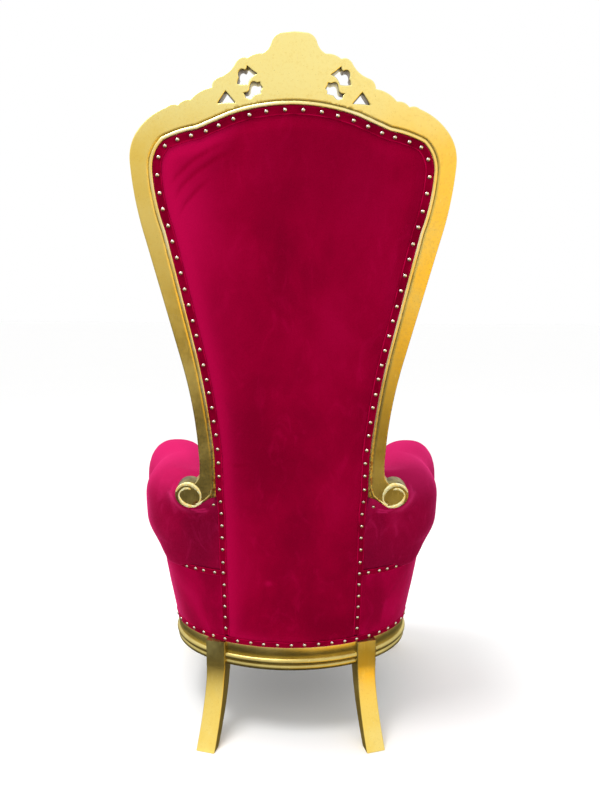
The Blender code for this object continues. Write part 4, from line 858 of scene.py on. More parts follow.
def velvet(name, deep, plain, lit, cloud_scale=5.0, shine=0.55):
    """Crimson cut-pile velvet: the nap lies in brushed patches, lighter and darker, over a fine pile. A point
    attribute
    paints light and shade on it: towards the lit tone above 0, towards the darkest tone below.
    """
    made, shader, place = new_material(
        name, Metallic=0.0, Specular_IOR_Level=0.0, Sheen_Weight=shine, Sheen_Roughness=0.30,
        Sheen_Tint=(1.0, 0.07, 0.30, 1.0))
    cloud = place.stretched(1.0, 1.0, 0.7).clouds(cloud_scale, 5.0, 0.55, 0.3)
    brushed = place.stretched(22.0, 22.0, 9.0).clouds(1.0, 4.0, 0.62, 1.5)
    pile = place.clouds(900.0, 3.0, 0.7)
    rows = place.stretched(420.0, 420.0, 60.0).clouds(1.0, 2.0, 0.5)
    colour = cloud.over(0.35, 0.60).mix(deep, plain)
    colour = (cloud.over(0.52, 0.80) * 0.35).mix(colour, lit)
    colour = (brushed.over(0.52, 0.75) * 0.22).mix(colour, lit)
    colour = (brushed.over(0.45, 0.25) * 0.20).mix(colour, deep)
    # Painted light and shade: the attribute pulls the colour to the lit tone above 0 and the darkest below.
    painted_light_and_nap_share = place.node("Attribute", {"attribute_name": "nap_and_painted_light"}, out=2)
    colour = painted_light_and_nap_share.over(0.0, 1.0).mix(colour, lit)
    colour = painted_light_and_nap_share.over(0.0, -1.0).mix(colour, deep)
    colour = (pile.over(0.35, 0.70) * 0.25).mix(colour, lit)
    colour = (pile.over(0.50, 0.25) * 0.30).mix(colour, deep)
    plug(shader, Base_Color=colour, Roughness=pile.over(0.2, 0.8, 0.75, 0.95),
         Normal=bump(pile * 0.7 + rows * 0.3 + cloud * 2.0, 0.25, 0.0012))
    return made


back_velvet = velvet("back_velvet", (0.142, 0.0, 0.010), (0.220, 0.0, 0.017), (0.40, 0.002, 0.050), 4.0, 0.30)


def barrel(z):
    """Half width, rear y and roundness of the barrel's plan at a height."""
    rise = z - RAIL_TOP
    roundness = 2.0 + (BARREL_ROUNDNESS - 2.0) * smooth(rise / (ARM_TOP - RAIL_TOP))
    return (SEAT_HALF_WIDTH + SIDE_LEAN * np.minimum(rise, ARM_UNDERSIDE - RAIL_TOP),
            SEAT_REAR_Y + math.tan(BACK_LEAN) * rise, roundness)


def barrel_drop(x, z):
    """How far the barrel lies in front of its rearmost line, at x."""
    half_width, rear, roundness = barrel(z)
    share = np.minimum(np.abs(x) / half_width, 1.0)
    return (rear - SEAT_WIDEST_Y) * (1 - (1 - share**roundness) ** (1 / roundness))


def velvet_depth(points):
    """The depth, from the frame's rear face forwards, of the velvet's rear surface."""
    z = height_of(points[:, 1])
    flat = smooth((z - (VOLUTE_HEIGHT - 0.06)) / 0.09)
    return barrel_drop(points[:, 0], z) * (1 - flat) + PANEL_RECESS * flat


def opening_path(inset, foot):
    """The opening's edge as an open path from the rail on one side, over the crest and down to it, moved inwards."""
    low = arc_path([(BACK_PANEL_HALF_WIDTH, RAIL_TOP - 0.05, 0.0), (BACK_PANEL_HALF_WIDTH, 0.700, 0.0)], 0.004)
    edge = low + opening_half()
    path = on_slope(edge + [(-x, z) for x, z in edge[-2::-1]])
    lowest = up_slope(foot)
    path = [p for p in offset_loop(path, inset, closed=False) if p[1] > lowest + 0.001]
    return [(path[0][0], lowest), *path, (path[-1][0], lowest)]


def opening_loop(inset, foot):
    """The same edge closed along the rail, where it follows the barrel."""
    path = opening_path(inset, foot + 0.006)
    side = path[0][0]
    sill = [-side + 2 * side * k / 90 for k in range(91)]
    return path + [(x, up_slope(foot) - barrel_drop(x, foot) * math.tan(BACK_LEAN)) for x in sill]


rail_line = RAIL_TOP + STRIP_WIDTH + SEAM
panel = opening_loop(STRIP_WIDTH - 0.001, rail_line - 0.004)
CREASES = (
    ((0.284, 1.205), (0.262, 1.243), (0.228, 1.274), (0.185, 1.300), (0.140, 1.318)),
    ((0.276, 1.180), (0.252, 1.222), (0.216, 1.254), (0.170, 1.282), (0.120, 1.302)),
    ((0.268, 1.140), (0.246, 1.184), (0.214, 1.218), (0.175, 1.246)),
    ((-0.284, 1.232), (-0.262, 1.262), (-0.232, 1.286)),
    ((0.166, 0.560), (0.140, 0.548), (0.105, 0.552)),
)


def creased(points):
    """How far, from 0 to 1, each point lies in a drawn crease of the velvet, fading at its ends."""
    most = np.zeros(len(points))
    for crease in CREASES:
        line = resampled(crease, 0.008)
        reach = distance_to(line, points, closed=False)
        ends = np.minimum(*[np.linalg.norm(points - line[k], axis=1) for k in (0, -1)])
        most = np.maximum(most, np.exp(-((reach / 0.0042) ** 2)) * smooth(ends / 0.06))
    return most


def panel_rear(points):
    edge = distance_to(panel, points)
    crown = PANEL_CROWN * smooth(edge / 0.030)
    swell = np.array([noise.noise(Vector((x * 9, s * 5, 0.3))) for x, s in points]) * 0.0006
    return velvet_depth(points) - crown + swell * smooth(edge / 0.05) + 0.001 + 0.0010 * creased(points)


def add_painted_light_and_nap(mesh, nap_and_painted_light):
    """Paints light and shade at each point, together with how the pile lies: lighter above 0, darker below."""
    layer = mesh.attributes.new("nap_and_painted_light", "FLOAT", "POINT")
    layer.data.foreach_set("value", np.asarray(nap_and_painted_light, dtype=np.float32))


back_mesh = board("velvet_outside_back", [panel], panel_rear, lambda p: velvet_depth(p) + PANEL_THICKNESS, 0.0015,
                  (0.004, 0.008, 0.013, 0.020), 0.0058)
places = points_of(back_mesh)
edge = distance_to(panel, places[:, :2])
# Painted light and shade: lighter along the edges and towards the sitter's left, on the softbox's side, and in a
# patch high on that side; darker over the upper middle; a small light spot low down; the creases painted darker as
# shade over their crushed nap.
nap_and_painted_light = 0.40 * np.exp(-((edge / 0.035) ** 2)) * (0.15 + 0.85 * smooth((places[:, 0] + 0.06) / 0.2))
nap_and_painted_light += 0.42 * smooth((places[:, 0] - 0.02) / 0.26)
nap_and_painted_light -= 0.45 * smooth((places[:, 1] - 1.05) / 0.18) * (1 - smooth((np.abs(places[:, 0] + 0.05) - 0.10) / 0.14))
nap_and_painted_light += 0.30 * np.exp(-(((places[:, 0] - 0.235) / 0.05) ** 2) - ((places[:, 1] - 1.17) / 0.08) ** 2)
nap_and_painted_light += 0.55 * np.exp(-(((places[:, 0] - 0.062) / 0.012) ** 2) - ((places[:, 1] - 0.208) / 0.010) ** 2)
nap_and_painted_light -= 0.34 * creased(places[:, :2])
add_painted_light_and_nap(back_mesh, nap_and_painted_light)
back_mesh.transform(back_plane)
outside_back = add_object("velvet_outside_back", back_mesh, back_velvet, 60)
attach(outside_back, "root")
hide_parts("outside_back")


# The nailing strips: bands of the same velvet folded over a tape, laid over each join between two covers, and held
# by the dome-headed nails, which pull them in a little.

NAIL_PITCH, RAIL_NAIL_PITCH, ARM_NAIL_PITCH, FIRST_ARM_NAILS = 0.0369, 0.0385, 0.033, (0.018, 0.053)
ARM_FRONT_Y, ARM_FLARE = -0.259, 0.250
strip_velvet = velvet("strip_velvet", (0.122, 0.0, 0.008), (0.182, 0.0, 0.013), (0.38, 0.001, 0.038), 16.0, 0.45)


def strip_mesh(name, lines, outwards, nails):
    """A folded strip: lines are its two edges and outwards the surface's normals, point by point. It is pulled in
    at each nail, and each of its long edges is a rolled fold."""
    first, second = lines
    along = lengths_along((first + second) / 2)
    shares = np.array([0.0, 0.03, 0.08, 0.14, 0.22, 0.35, 0.5, 0.65, 0.78, 0.86, 0.92, 0.97, 1.0])
    shares_all = np.concatenate([shares, [1.0, 0.0]])[None]
    lift = [0.0, 0.0012, 0.0020, 0.0019, 0.0014, 0.0014, 0.0015, 0.0014, 0.0014, 0.0019, 0.0020, 0.0012, 0.0]
    gap = np.min(np.abs(along[:, None] - np.array(nails)[None]), axis=1)
    dent = 0.0009 * np.exp(-((gap / 0.0055) ** 2))
    waver = np.array([noise.noise(Vector((a * 30, len(name), 0.5))) for a in along]) * 0.0007
    rings = []
    for k in range(len(along)):
        across = second[k] - first[k]
        edge = across / np.linalg.norm(across) * waver[k]
        top = [first[k] + across * t + outwards[k] * (h - dent[k] * (h > 0)) + edge for t, h in zip(shares, lift)]
        under = [second[k] - outwards[k] * 0.0025 + edge, first[k] - outwards[k] * 0.0025 + edge]
        rings.append(top + under)
    made = loft(name, rings)
    # Painted highlight on the rolled edges, painted shade in the dents round each nail, over random patches of waxed
    # nap.
    fold = np.array([0.3, 0.9, 1.0, 0.3, 0.0, -0.1, -0.2, -0.1, 0.0, 0.3, 1.0, 0.9, 0.3, 0.0, 0.0])
    waxing = np.array([noise.noise(Vector((a * 45, 0.7, len(name)))) for a in along])
    add_painted_light_and_nap(made, (fold[None] * np.clip(0.75 + 0.9 * waxing, 0.1, 1.2)[:, None]
                   - 0.5 * np.exp(-((gap / 0.007) ** 2))[:, None] * (np.abs(shares_all - 0.5) < 0.3)).ravel())
    return made


def from_back(places):
    """Points on the back, as (x, up the slope, depth), in the room."""
    return places @ np.array(back_plane.to_3x3()).T + np.array(back_plane.translation)


def on_back(points):
    """The velvet's rear surface at points of the back, in the room, and its outward normals there."""
    def place(p):
        return from_back(np.column_stack([p, velvet_depth(p)]))

    here = place(points)
    across = place(points + (0.001, 0.0)) - here
    up = place(points + (0.0, 0.001)) - here
    normal = unit(np.cross(up, across))
    return here, normal * np.where(normal[:, 1:2] < 0, -1, 1)


middle_path = resampled(opening_path(STRIP_WIDTH / 2, rail_line - 0.0015), 0.004)
inward = unit(np.array(offset_loop(middle_path, 1.0, closed=False)) - middle_path)
path_lengths = lengths_along(middle_path)
strip_length = path_lengths[-1]
CREST_PITCHES = (0.0400, 0.0398, 0.0380, 0.0350, 0.0340, 0.0325, 0.0320, 0.0325, 0.0310, 0.0300)
from_middle = np.cumsum([0.0205, *CREST_PITCHES[1:], *[NAIL_PITCH] * 60])
from_middle = from_middle[from_middle < strip_length / 2 - 0.006]
hand = np.random.default_rng(7)
nail_lengths = strip_length / 2 + np.concatenate([-from_middle[::-1], from_middle])
nail_lengths = nail_lengths + hand.uniform(-0.0016, 0.0016, len(nail_lengths))
first, normals = on_back(middle_path - inward * STRIP_WIDTH / 2)
second, _ = on_back(middle_path + inward * STRIP_WIDTH / 2)
strip = add_object("velvet_back_strip", strip_mesh("velvet_back_strip", (first, second), normals, nail_lengths),
                   strip_velvet, 60)
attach(strip, "root")
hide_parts("back_strip")
nail_places = [("back_strip_nails", *on_back(at_lengths(middle_path, path_lengths, nail_lengths)))]


def barrel_point(first_x, along, offset, z):
    """A point outside the barrel at a share along its side: 0 at first_x, 1 where it is widest, 2 at the arm's
    front."""
    half_width, rear, roundness = barrel(z)
    if along <= 1:
        start = math.asin((first_x / half_width) ** (roundness / 2))
        turn = start + (math.pi / 2 - start) * along
        x = half_width * math.sin(turn) ** (2 / roundness)
        y = (rear - SEAT_WIDEST_Y) * max(math.cos(turn), 0.0) ** (2 / roundness)
        normal = Vector(((x / half_width) ** (roundness - 1) / half_width,
                         (y / (rear - SEAT_WIDEST_Y)) ** (roundness - 1) / (rear - SEAT_WIDEST_Y))).normalized()
        return Vector((x + normal.x * offset, SEAT_WIDEST_Y + y + normal.y * offset, z))
    forward = (along - 1) * (SEAT_WIDEST_Y - ARM_FRONT_Y)
    lift = min((z - RAIL_TOP) / (ARM_UNDERSIDE - RAIL_TOP), 1.0)
    flare = (SIDE_FLARE + (ARM_FLARE - SIDE_FLARE) * lift) * forward * (along - 1) ** (0.5 * lift)
    return Vector((half_width + flare + offset, SEAT_WIDEST_Y - forward, z))


STATIONS = [k / 60 for k in range(60)] + [1 + k / 30 for k in range(31)]


def side_strip(name, low, high, start_x, whole_round):
    """A strip round the barrel between two heights, and its nails' places."""
    def line(z, offset=0.0):
        half = [np.array(barrel_point(start_x, along, offset, z)) for along in STATIONS]
        if whole_round:
            lean = math.tan(BACK_LEAN) * (z - RAIL_TOP)
            middle = [np.array((x, SEAT_REAR_Y - barrel_drop(x, RAIL_TOP) + lean + offset, z))
                      for x in np.linspace(-start_x, start_x, 41)[1:-1]]
            return np.array([p * (-1, 1, 1) for p in half[::-1]] + middle + half)
        return np.array(half)

    lower, upper = line(low), line(high)
    outwards = unit(line((low + high) / 2, 0.01) - line((low + high) / 2))
    middle = (lower + upper) / 2
    runs = lengths_along(middle)
    if whole_round:
        centre = runs[-1] / 2
        count = int((centre - 0.008) / RAIL_NAIL_PITCH)
        nails = centre + np.arange(-count, count + 1) * RAIL_NAIL_PITCH + hand.uniform(-0.0016, 0.0016, 2 * count + 1)
    else:
        nails = np.concatenate([FIRST_ARM_NAILS, np.arange(0.080, runs[-1] - 0.004, ARM_NAIL_PITCH)])
    places, normals = at_lengths(middle, runs, nails), at_lengths(outwards, runs, nails)
    even = resampled(np.column_stack([lower, upper, outwards]), 0.005)
    return strip_mesh(name, (even[:, :3], even[:, 3:6]), even[:, 6:], nails), places, normals


mesh, places, normals = side_strip("velvet_rail_strip", RAIL_TOP + 0.0002, RAIL_TOP + STRIP_WIDTH, 0.14, True)
strip = add_object("velvet_rail_strip", mesh, strip_velvet, 60)
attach(strip, "root")
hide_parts("rail_strip")
nail_places.append(("rail_strip_nails", places, normals))

SIDES = ((1, "left"), (-1, "right"))


def for_side(mesh, side):
    """A copy of the left piece's mesh, mirrored for the right."""
    mesh = mesh.copy()
    if side < 0:
        mesh.transform(Matrix.Scale(-1, 4, (1, 0, 0)))
        mesh.flip_normals()
    return mesh


under_mesh, places, normals = side_strip(
    "velvet_arm_strip_left", ARM_UNDERSIDE - STRIP_WIDTH - 0.001, ARM_UNDERSIDE - 0.001, 0.1935, False)
for side, word in SIDES:
    strip = add_object(f"velvet_arm_strip_{word}", for_side(under_mesh, side), strip_velvet, 60)
    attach(strip, "root")
    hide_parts(f"arm_strip_{word}")
    nail_places.append((f"arm_strip_nails_{word}", places * (side, 1, 1), normals * (side, 1, 1)))


# The outside arm panels: flat pieces of velvet stretched over card and a thin wadding, from the rail up to the roll,
# with their edges under the nailing strips.

side_velvet = velvet("side_velvet", (0.165, 0.0, 0.012), (0.27, 0.0, 0.026), (0.46, 0.003, 0.075), 7.0, 0.8)
PANEL_HEIGHTS = [RAIL_TOP + 0.0005 + (ARM_UNDERSIDE - 0.0015 - RAIL_TOP) * k / 28 for k in range(29)]


def side_panel():
    """The panel bellies a little between its edges, as the wadding under it does."""
    rings = []
    for along in STATIONS:
        outer = []
        for z in PANEL_HEIGHTS:
            share = (z - RAIL_TOP) / (ARM_UNDERSIDE - RAIL_TOP)
            swell = 0.0035 * math.sin(math.pi * min(max(share, 0), 1)) ** 0.7
            swell += 0.0008 * noise.noise(Vector((along * 5, z * 18, 2.0)))
            outer.append(barrel_point(0.189, along, swell * min(along / 0.05, 1.0) - 0.0012, z))
        inner = [barrel_point(0.189, along, -0.0115, z) for z in PANEL_HEIGHTS[::-4]]
        rings.append(outer + inner)
    return loft("velvet_outside_arm", rings)


panel_mesh = side_panel()
for side, word in SIDES:
    panel_piece = add_object(f"velvet_outside_arm_{word}", for_side(panel_mesh, side), side_velvet, 60)
    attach(panel_piece, "root")
    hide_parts(f"outside_arm_{word}")


# The arms: the barrel's walls and their overhanging rolls, foam and wadding under one cover of velvet that swells
# round the stile and the volute.

ARM_BULGE, ARM_THICKNESS, ARM_WALL_THICKNESS, ROLL_CROWN, ROLL_SWELL = 0.0405, 0.140, 0.134, 0.100, 0.110
arm_velvet = velvet("arm_velvet", (0.118, 0.0, 0.009), (0.195, 0.0, 0.017), (0.50, 0.014, 0.105), 6.0, 0.6)


def arm_section(bulge_share, droop=0.0, fuller=0.0):
    """The arm's section as (offset, height): the wall, and the roll that overhangs it, and hangs down by droop."""
    bulge = ARM_BULGE * bulge_share + fuller
    middle, half = (bulge - ARM_THICKNESS) / 2, (bulge + ARM_THICKNESS) / 2
    wall = -0.0135
    section = [(wall, RAIL_TOP + 0.0005 + (ARM_UNDERSIDE - 0.001 - RAIL_TOP) * k / 24) for k in range(25)]
    section += [(wall, ARM_UNDERSIDE - 0.0055), (-0.003 + 0.006 * droop, ARM_UNDERSIDE - 0.005 * (1 - droop))]
    for k in range(1, 13):
        swell = math.sin(math.pi / 2 * k / 12) ** (1.3 - 0.55 * droop)
        hang = droop * 0.036 * math.sin(math.pi * min(k / 6, 1.0)) ** 0.8 if k < 6 else 0.0
        section.append((bulge * swell + 0.004 * droop * (1 - k / 12), ARM_UNDERSIDE + ROLL_SWELL * k / 12 - hang))
    upright = ARM_TOP - ROLL_CROWN - ARM_UNDERSIDE - ROLL_SWELL
    section += [(bulge, ARM_UNDERSIDE + ROLL_SWELL + upright * (k + 0.5) / 6) for k in range(6)]
    for k in range(33):
        turn = math.pi * k / 32
        reach = math.copysign(abs(math.cos(turn)) ** 0.85, math.cos(turn)) if k != 16 else 0.0
        full = math.sin(turn) ** (1.0 if k < 16 else 0.62) if k < 32 else 0.0
        section.append((middle + half * reach, ARM_TOP - ROLL_CROWN + (ROLL_CROWN + 0.7 * fuller) * full))
    deck = RAIL_TOP + 0.1
    section += [(-ARM_THICKNESS, ARM_TOP - ROLL_CROWN - (ARM_TOP - ROLL_CROWN - deck) * k / 16) for k in range(1, 16)]
    section += [(-ARM_WALL_THICKNESS, deck), (-ARM_WALL_THICKNESS, RAIL_TOP + 0.0005)]
    return section


def smoothed(mesh, rounds):
    """Relaxes the mesh's points towards their neighbours' middle, in place."""
    edges = np.empty(len(mesh.edges) * 2, dtype=np.int32)
    mesh.edges.foreach_get("vertices", edges)
    first, second = edges.reshape(-1, 2).T
    places, count = points_of(mesh), len(mesh.vertices)
    near = np.maximum(np.bincount(edges, minlength=count), 1)[:, None]
    for _ in range(rounds):
        total = np.stack([np.bincount(first, places[second, k], count) + np.bincount(second, places[first, k], count)
                          for k in range(3)], axis=1)
        places = places + (total / near - places) * 0.5
    mesh.vertices.foreach_set("co", places.ravel())
    mesh.update()
    return mesh


def swelled(name, mesh, voxel, pressure, most, held, frames=14):
    """The padding and its cover: the shape remeshed, then blown up a little as cloth. held gives, for the points,
    the share from 0 to 1 by which each keeps its place. No point moves more than most."""
    holder = bpy.data.objects.new(name, mesh)
    scene.collection.objects.link(holder)
    remesh = holder.modifiers.new("remesh", "REMESH")
    remesh.mode, remesh.voxel_size = "VOXEL", voxel
    graph = bpy.context.evaluated_depsgraph_get()
    dense = bpy.data.meshes.new_from_object(holder.evaluated_get(graph))
    bpy.data.objects.remove(holder)
    smoothed(dense, 3)
    start = points_of(dense)
    keep = held(start)
    holder = bpy.data.objects.new(name, dense)
    scene.collection.objects.link(holder)
    pins = holder.vertex_groups.new(name="pins")
    for k in np.nonzero(keep > 0.02)[0]:
        pins.add([int(k)], float(keep[k]), "REPLACE")
    cloth = holder.modifiers.new("cloth", "CLOTH")
    cover = cloth.settings
    cover.quality, cover.mass = 4, 0.3
    cover.tension_stiffness = cover.compression_stiffness = 18.0
    cover.bending_stiffness = 0.6
    cover.use_pressure, cover.uniform_pressure_force = True, pressure
    cover.vertex_group_mass = "pins"
    cover.effector_weights.gravity = 0.0
    cloth.collision_settings.use_collision = False
    cloth.point_cache.frame_start, cloth.point_cache.frame_end = 1, frames
    for k in range(1, frames + 1):
        scene.frame_set(k)
    graph = bpy.context.evaluated_depsgraph_get()
    blown = holder.evaluated_get(graph).to_mesh()
    end = points_of(blown)
    holder.modifiers.clear()
    move = end - start
    length = np.linalg.norm(move, axis=1)[:, None]
    move = move * np.minimum(1.0, most / np.maximum(length, 1e-9)) * (1 - keep)[:, None]
    dense.vertices.foreach_set("co", (start + move).ravel())
    bpy.data.objects.remove(holder)
    scene.frame_set(1)
    return smoothed(dense, 2)


def to_back(places):
    """Points in the room as (x, up the slope, depth) on the back."""
    return (places - np.array(back_plane.translation)) @ np.array(back_plane.to_3x3())


def arm_held(places):
    """The arm keeps its place under the strips, against the seat, and where the frame and the back cover it."""
    low = smooth((ARM_UNDERSIDE + 0.012 - places[:, 2]) / 0.02)
    middle = smooth((0.215 - places[:, 0]) / 0.02)
    front = smooth((ARM_FRONT_Y + 0.012 - places[:, 1]) / 0.010)
    return np.maximum.reduce([low, middle, front])


frame_half = anticlockwise([p for p in on_slope(half) if p[1] < 0.75])
HOOK_FOLDS = (
    ((0.262, 0.4200), (0.247, 0.4150), (0.230, 0.4180)), ((0.253, 0.4100), (0.240, 0.4085), (0.226, 0.4110)),
)


def folds_at(points):
    """How far, from 0 to 1, each point lies in one of the short folds under the hook."""
    most = np.zeros(len(points))
    for fold in HOOK_FOLDS:
        reach = distance_to(resampled(fold, 0.004), points, closed=False)
        most = np.maximum(most, np.exp(-((reach / 0.0032) ** 2)))
    return most


def pressed_round_frame(mesh):
    """Lets the velvet in behind the stile and the volute, and swells it up to their sides."""
    local = to_back(points_of(mesh))
    gap = distance_to(frame_half, local[:, :2]) * np.where(inside(frame_half, local[:, :2]), -1, 1)
    allowed = 0.008 - np.sqrt(np.clip(gap + 0.001, 0, 0.04) * 0.010) - np.where(gap > 0.04, 1.0, 0.0)
    near = local[:, 1] < 0.75
    above = smooth((local[:, 1] - 0.45) / 0.04)
    pull = 0.88 * np.exp(-((np.maximum(gap, 0.0) / (0.026 - 0.010 * above)) ** 2))
    pull *= smooth((local[:, 1] - 0.36) / 0.05)
    pull *= smooth((local[:, 0] - 0.193) / 0.016)
    drawn = local[:, 2] - np.maximum(local[:, 2] - 0.003 - 0.013 * above, 0.0) * pull
    drawn += 0.0012 * folds_at(local[:, :2])
    local[:, 2] = np.where(near & (local[:, 2] < 0.075), np.maximum(drawn, allowed), local[:, 2])
    mesh.vertices.foreach_set("co", from_back(local).ravel())
    mesh.update()
    return mesh


arm_rings = []
for along in STATIONS:
    bulge = float(smooth(along / 0.75))
    droop = float(smooth((along - 0.27) / 0.13) * (1 - smooth((along - 0.48) / 0.24)))
    fuller = 0.012 * float(smooth((along - 1.0) / 0.6) * (1 - 0.8 * smooth((along - 1.8) / 0.2)))
    arm_rings.append([barrel_point(0.165, along, offset, z) for offset, z in arm_section(bulge, droop, fuller)])
arm_shape = loft("arm", arm_rings)
cut = bmesh.new()
cut.from_mesh(arm_shape)
bmesh.ops.bisect_plane(cut, geom=cut.verts[:] + cut.edges[:] + cut.faces[:], plane_co=(0.187, 0, 0),
                       plane_no=(1, 0, 0), clear_inner=True)
bmesh.ops.holes_fill(cut, edges=[edge for edge in cut.edges if edge.is_boundary])
cut.to_mesh(arm_shape)
cut.free()
arm_shape = pressed_round_frame(swelled("arm", arm_shape, 0.0046, 4.0, 0.006, arm_held))
places = points_of(arm_shape)
# Painted light and shade: the arm's top painted lighter, more so towards its front, its lower part painted darker,
# and the folds under the hook painted lighter.
forwards = smooth((0.16 - places[:, 1]) / 0.22)
nap_and_painted_light = (0.55 + 0.30 * forwards) * smooth((places[:, 2] - 0.66) / 0.12)
nap_and_painted_light -= 0.35 * smooth((0.66 - places[:, 2]) / 0.08)
add_painted_light_and_nap(arm_shape, nap_and_painted_light + 0.5 * folds_at(to_back(places)[:, :2]))
for side, word in SIDES:
    arm = add_object(f"velvet_arm_{word}", for_side(arm_shape, side), arm_velvet, 60)
    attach(arm, "root")
    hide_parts(f"arm_{word}")


# The arm facings: thin boards cut to the arms' section and covered in velvet that is stapled behind them, fixed over
# the arms' fronts to close them.

FACING_BEHIND, FACING_THICKNESS, FACING_CROWN, PANEL_COVERED = 0.0005, 0.0085, 0.003, 0.0125


def even_loop(loop, pitch):
    """A closed loop's points at an even pitch."""
    return [tuple(p) for p in resampled(loop + loop[:1], pitch)[:-1]]


def eased(loop):
    """A closed loop with its corners eased."""
    loop = np.array(loop)
    for _ in range(3):
        loop = (np.roll(loop, 1, axis=0) + loop * 2 + np.roll(loop, -1, axis=0)) / 4
    return loop


section = []
for offset, z in arm_section(1.0):
    if offset > -0.02 and z < 0.60:
        offset = max(offset, PANEL_COVERED)
    section.append((barrel_point(0.165, 2.0, offset, z).x, z))
facing_loop = [tuple(p) for p in eased(offset_loop(even_loop(anticlockwise(section), 0.006), 0.012))]


def facing_front(points):
    return FACING_THICKNESS + FACING_CROWN * np.sqrt(smooth(distance_to(facing_loop, points) / 0.02))


facing_mesh = board("facing", [facing_loop], lambda p: np.full(len(p), FACING_BEHIND), facing_front, 0.003,
                    (0.006, 0.011, 0.018), 0.008)
facing_mesh.transform(Matrix.Translation((0.0, ARM_FRONT_Y, 0.0)) @ Matrix.Rotation(math.pi / 2, 4, "X"))
for side, word in SIDES:
    facing_piece = add_object(f"velvet_arm_facing_{word}", for_side(facing_mesh, side), side_velvet, 50)
    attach(facing_piece, "root")
    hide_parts(f"arm_facing_{word}")


# The inside back: a deep foam pad between the arms, thinner where it meets the carved frame, under the same velvet,
# which is pulled through and tacked to the frame's rear.

DECK_TOP, BACK_THICKNESS, PAD_EDGE = 0.385, 0.120, 0.052
pad_loop = opening_loop(0.001, DECK_TOP + 0.001)
arm_line = up_slope(ARM_TOP + 0.012)
pad_loop = [(float(np.clip(x, -0.194, 0.194)) if s < arm_line else x, s) for x, s in pad_loop]


def pad_rear(points):
    return velvet_depth(points) + PANEL_THICKNESS + 0.0035


def pad_front(points):
    high = smooth((height_of(points[:, 1]) - (ARM_TOP - 0.10)) / 0.12)
    side_edge = BACK_THICKNESS - 0.010 + (PAD_EDGE - BACK_THICKNESS + 0.010) * high
    crown = np.sqrt(smooth(distance_to(pad_loop, points) / (0.03 + 0.05 * high)))
    return side_edge + (BACK_THICKNESS - side_edge) * crown - 0.004


pad_mesh = board("inside_back", [pad_loop], pad_rear, pad_front, 0.004, (0.01, 0.02, 0.035), 0.012)


def pad_held(places):
    back = smooth((places[:, 2] - pad_rear(places[:, :2]) - 0.012) / 0.02)
    return 1 - back * smooth(distance_to(pad_loop, places[:, :2]) / 0.02 + 0.2)


pad_mesh = swelled("inside_back", pad_mesh, 0.0075, 4.0, 0.010, pad_held)
pad_mesh.transform(back_plane)
inside_back = add_object("velvet_inside_back", pad_mesh, arm_velvet, 60)
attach(inside_back, "root")
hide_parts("inside_back")


# The seat: a sprung deck upholstered over the rails, and a loose T-shaped cushion of foam in a velvet cover with
# piped seams.

PIPING_RADIUS = 0.0040


def cad_loop(node, z):
    """The outline of a carried-over solid at a height, as a loop in x and y."""
    cut = bmesh.new()
    cut.from_mesh(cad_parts[node].data)
    bmesh.ops.remove_doubles(cut, verts=cut.verts, dist=1e-5)
    found = bmesh.ops.bisect_plane(cut, geom=cut.verts[:] + cut.edges[:] + cut.faces[:], plane_co=(0, 0, z),
                                   plane_no=(0, 0, 1))["geom_cut"]
    edges = [e for e in found if isinstance(e, bmesh.types.BMEdge)]
    start = edges[0].verts[0]
    loop, here, before = [], start, None
    while True:
        loop.append((here.co.x, here.co.y))
        step = next(e for e in here.link_edges if e in edges and e is not before)
        here, before = step.other_vert(here), step
        if here is start:
            break
    cut.free()
    return anticlockwise(loop)


def upright_pad(name, loop, low, high, edge, sink):
    """A pad over a loop, with rounded upper and lower edges and a crowned top."""
    rings = []
    for degrees in range(0, 91, 15):
        turn = math.radians(degrees)
        rings.append((edge * 0.5 * (1 - math.sin(turn)), low + edge * 0.5 * (1 - math.cos(turn))))
    for k in range(1, 8):
        rings.append((0.0, low + edge * 0.5 + (high - low - edge * 1.5) * k / 8))
    for degrees in range(0, 91, 15):
        turn = math.radians(degrees)
        rings.append((edge * (1 - math.cos(turn)), high - edge + edge * math.sin(turn)))
    return loft(name, [[(x, y, z) for x, y in offset_loop(loop, inset + sink)] for inset, z in rings])


deck_loop = even_loop(cad_loop("seat_deck", 0.33), 0.012)
deck_mesh = upright_pad("seat_deck", deck_loop, RAIL_TOP + 0.001, DECK_TOP, 0.014, 0.0015)
deck_mesh = swelled("seat_deck", deck_mesh, 0.007, 3.0, 0.003, lambda p: smooth((p[:, 1] + 0.24) / 0.02))
deck = add_object("velvet_seat_deck", deck_mesh, side_velvet, 60)
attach(deck, "root")
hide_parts("seat_deck")

(_, _, cushion_low), (_, _, cushion_high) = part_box("cushion")
cushion_loop = even_loop(cad_loop("cushion", (cushion_low + cushion_high) / 2), 0.010)
cushion_mesh = upright_pad("cushion", cushion_loop, cushion_low, cushion_high - 0.020, 0.018, 0.004)


def cushion_held(places):
    """Flat underneath, and stiffer in the border than on top."""
    return np.maximum(smooth((cushion_low + 0.02 - places[:, 2]) / 0.015),
                      0.75 * smooth((cushion_high - 0.030 - places[:, 2]) / 0.015))


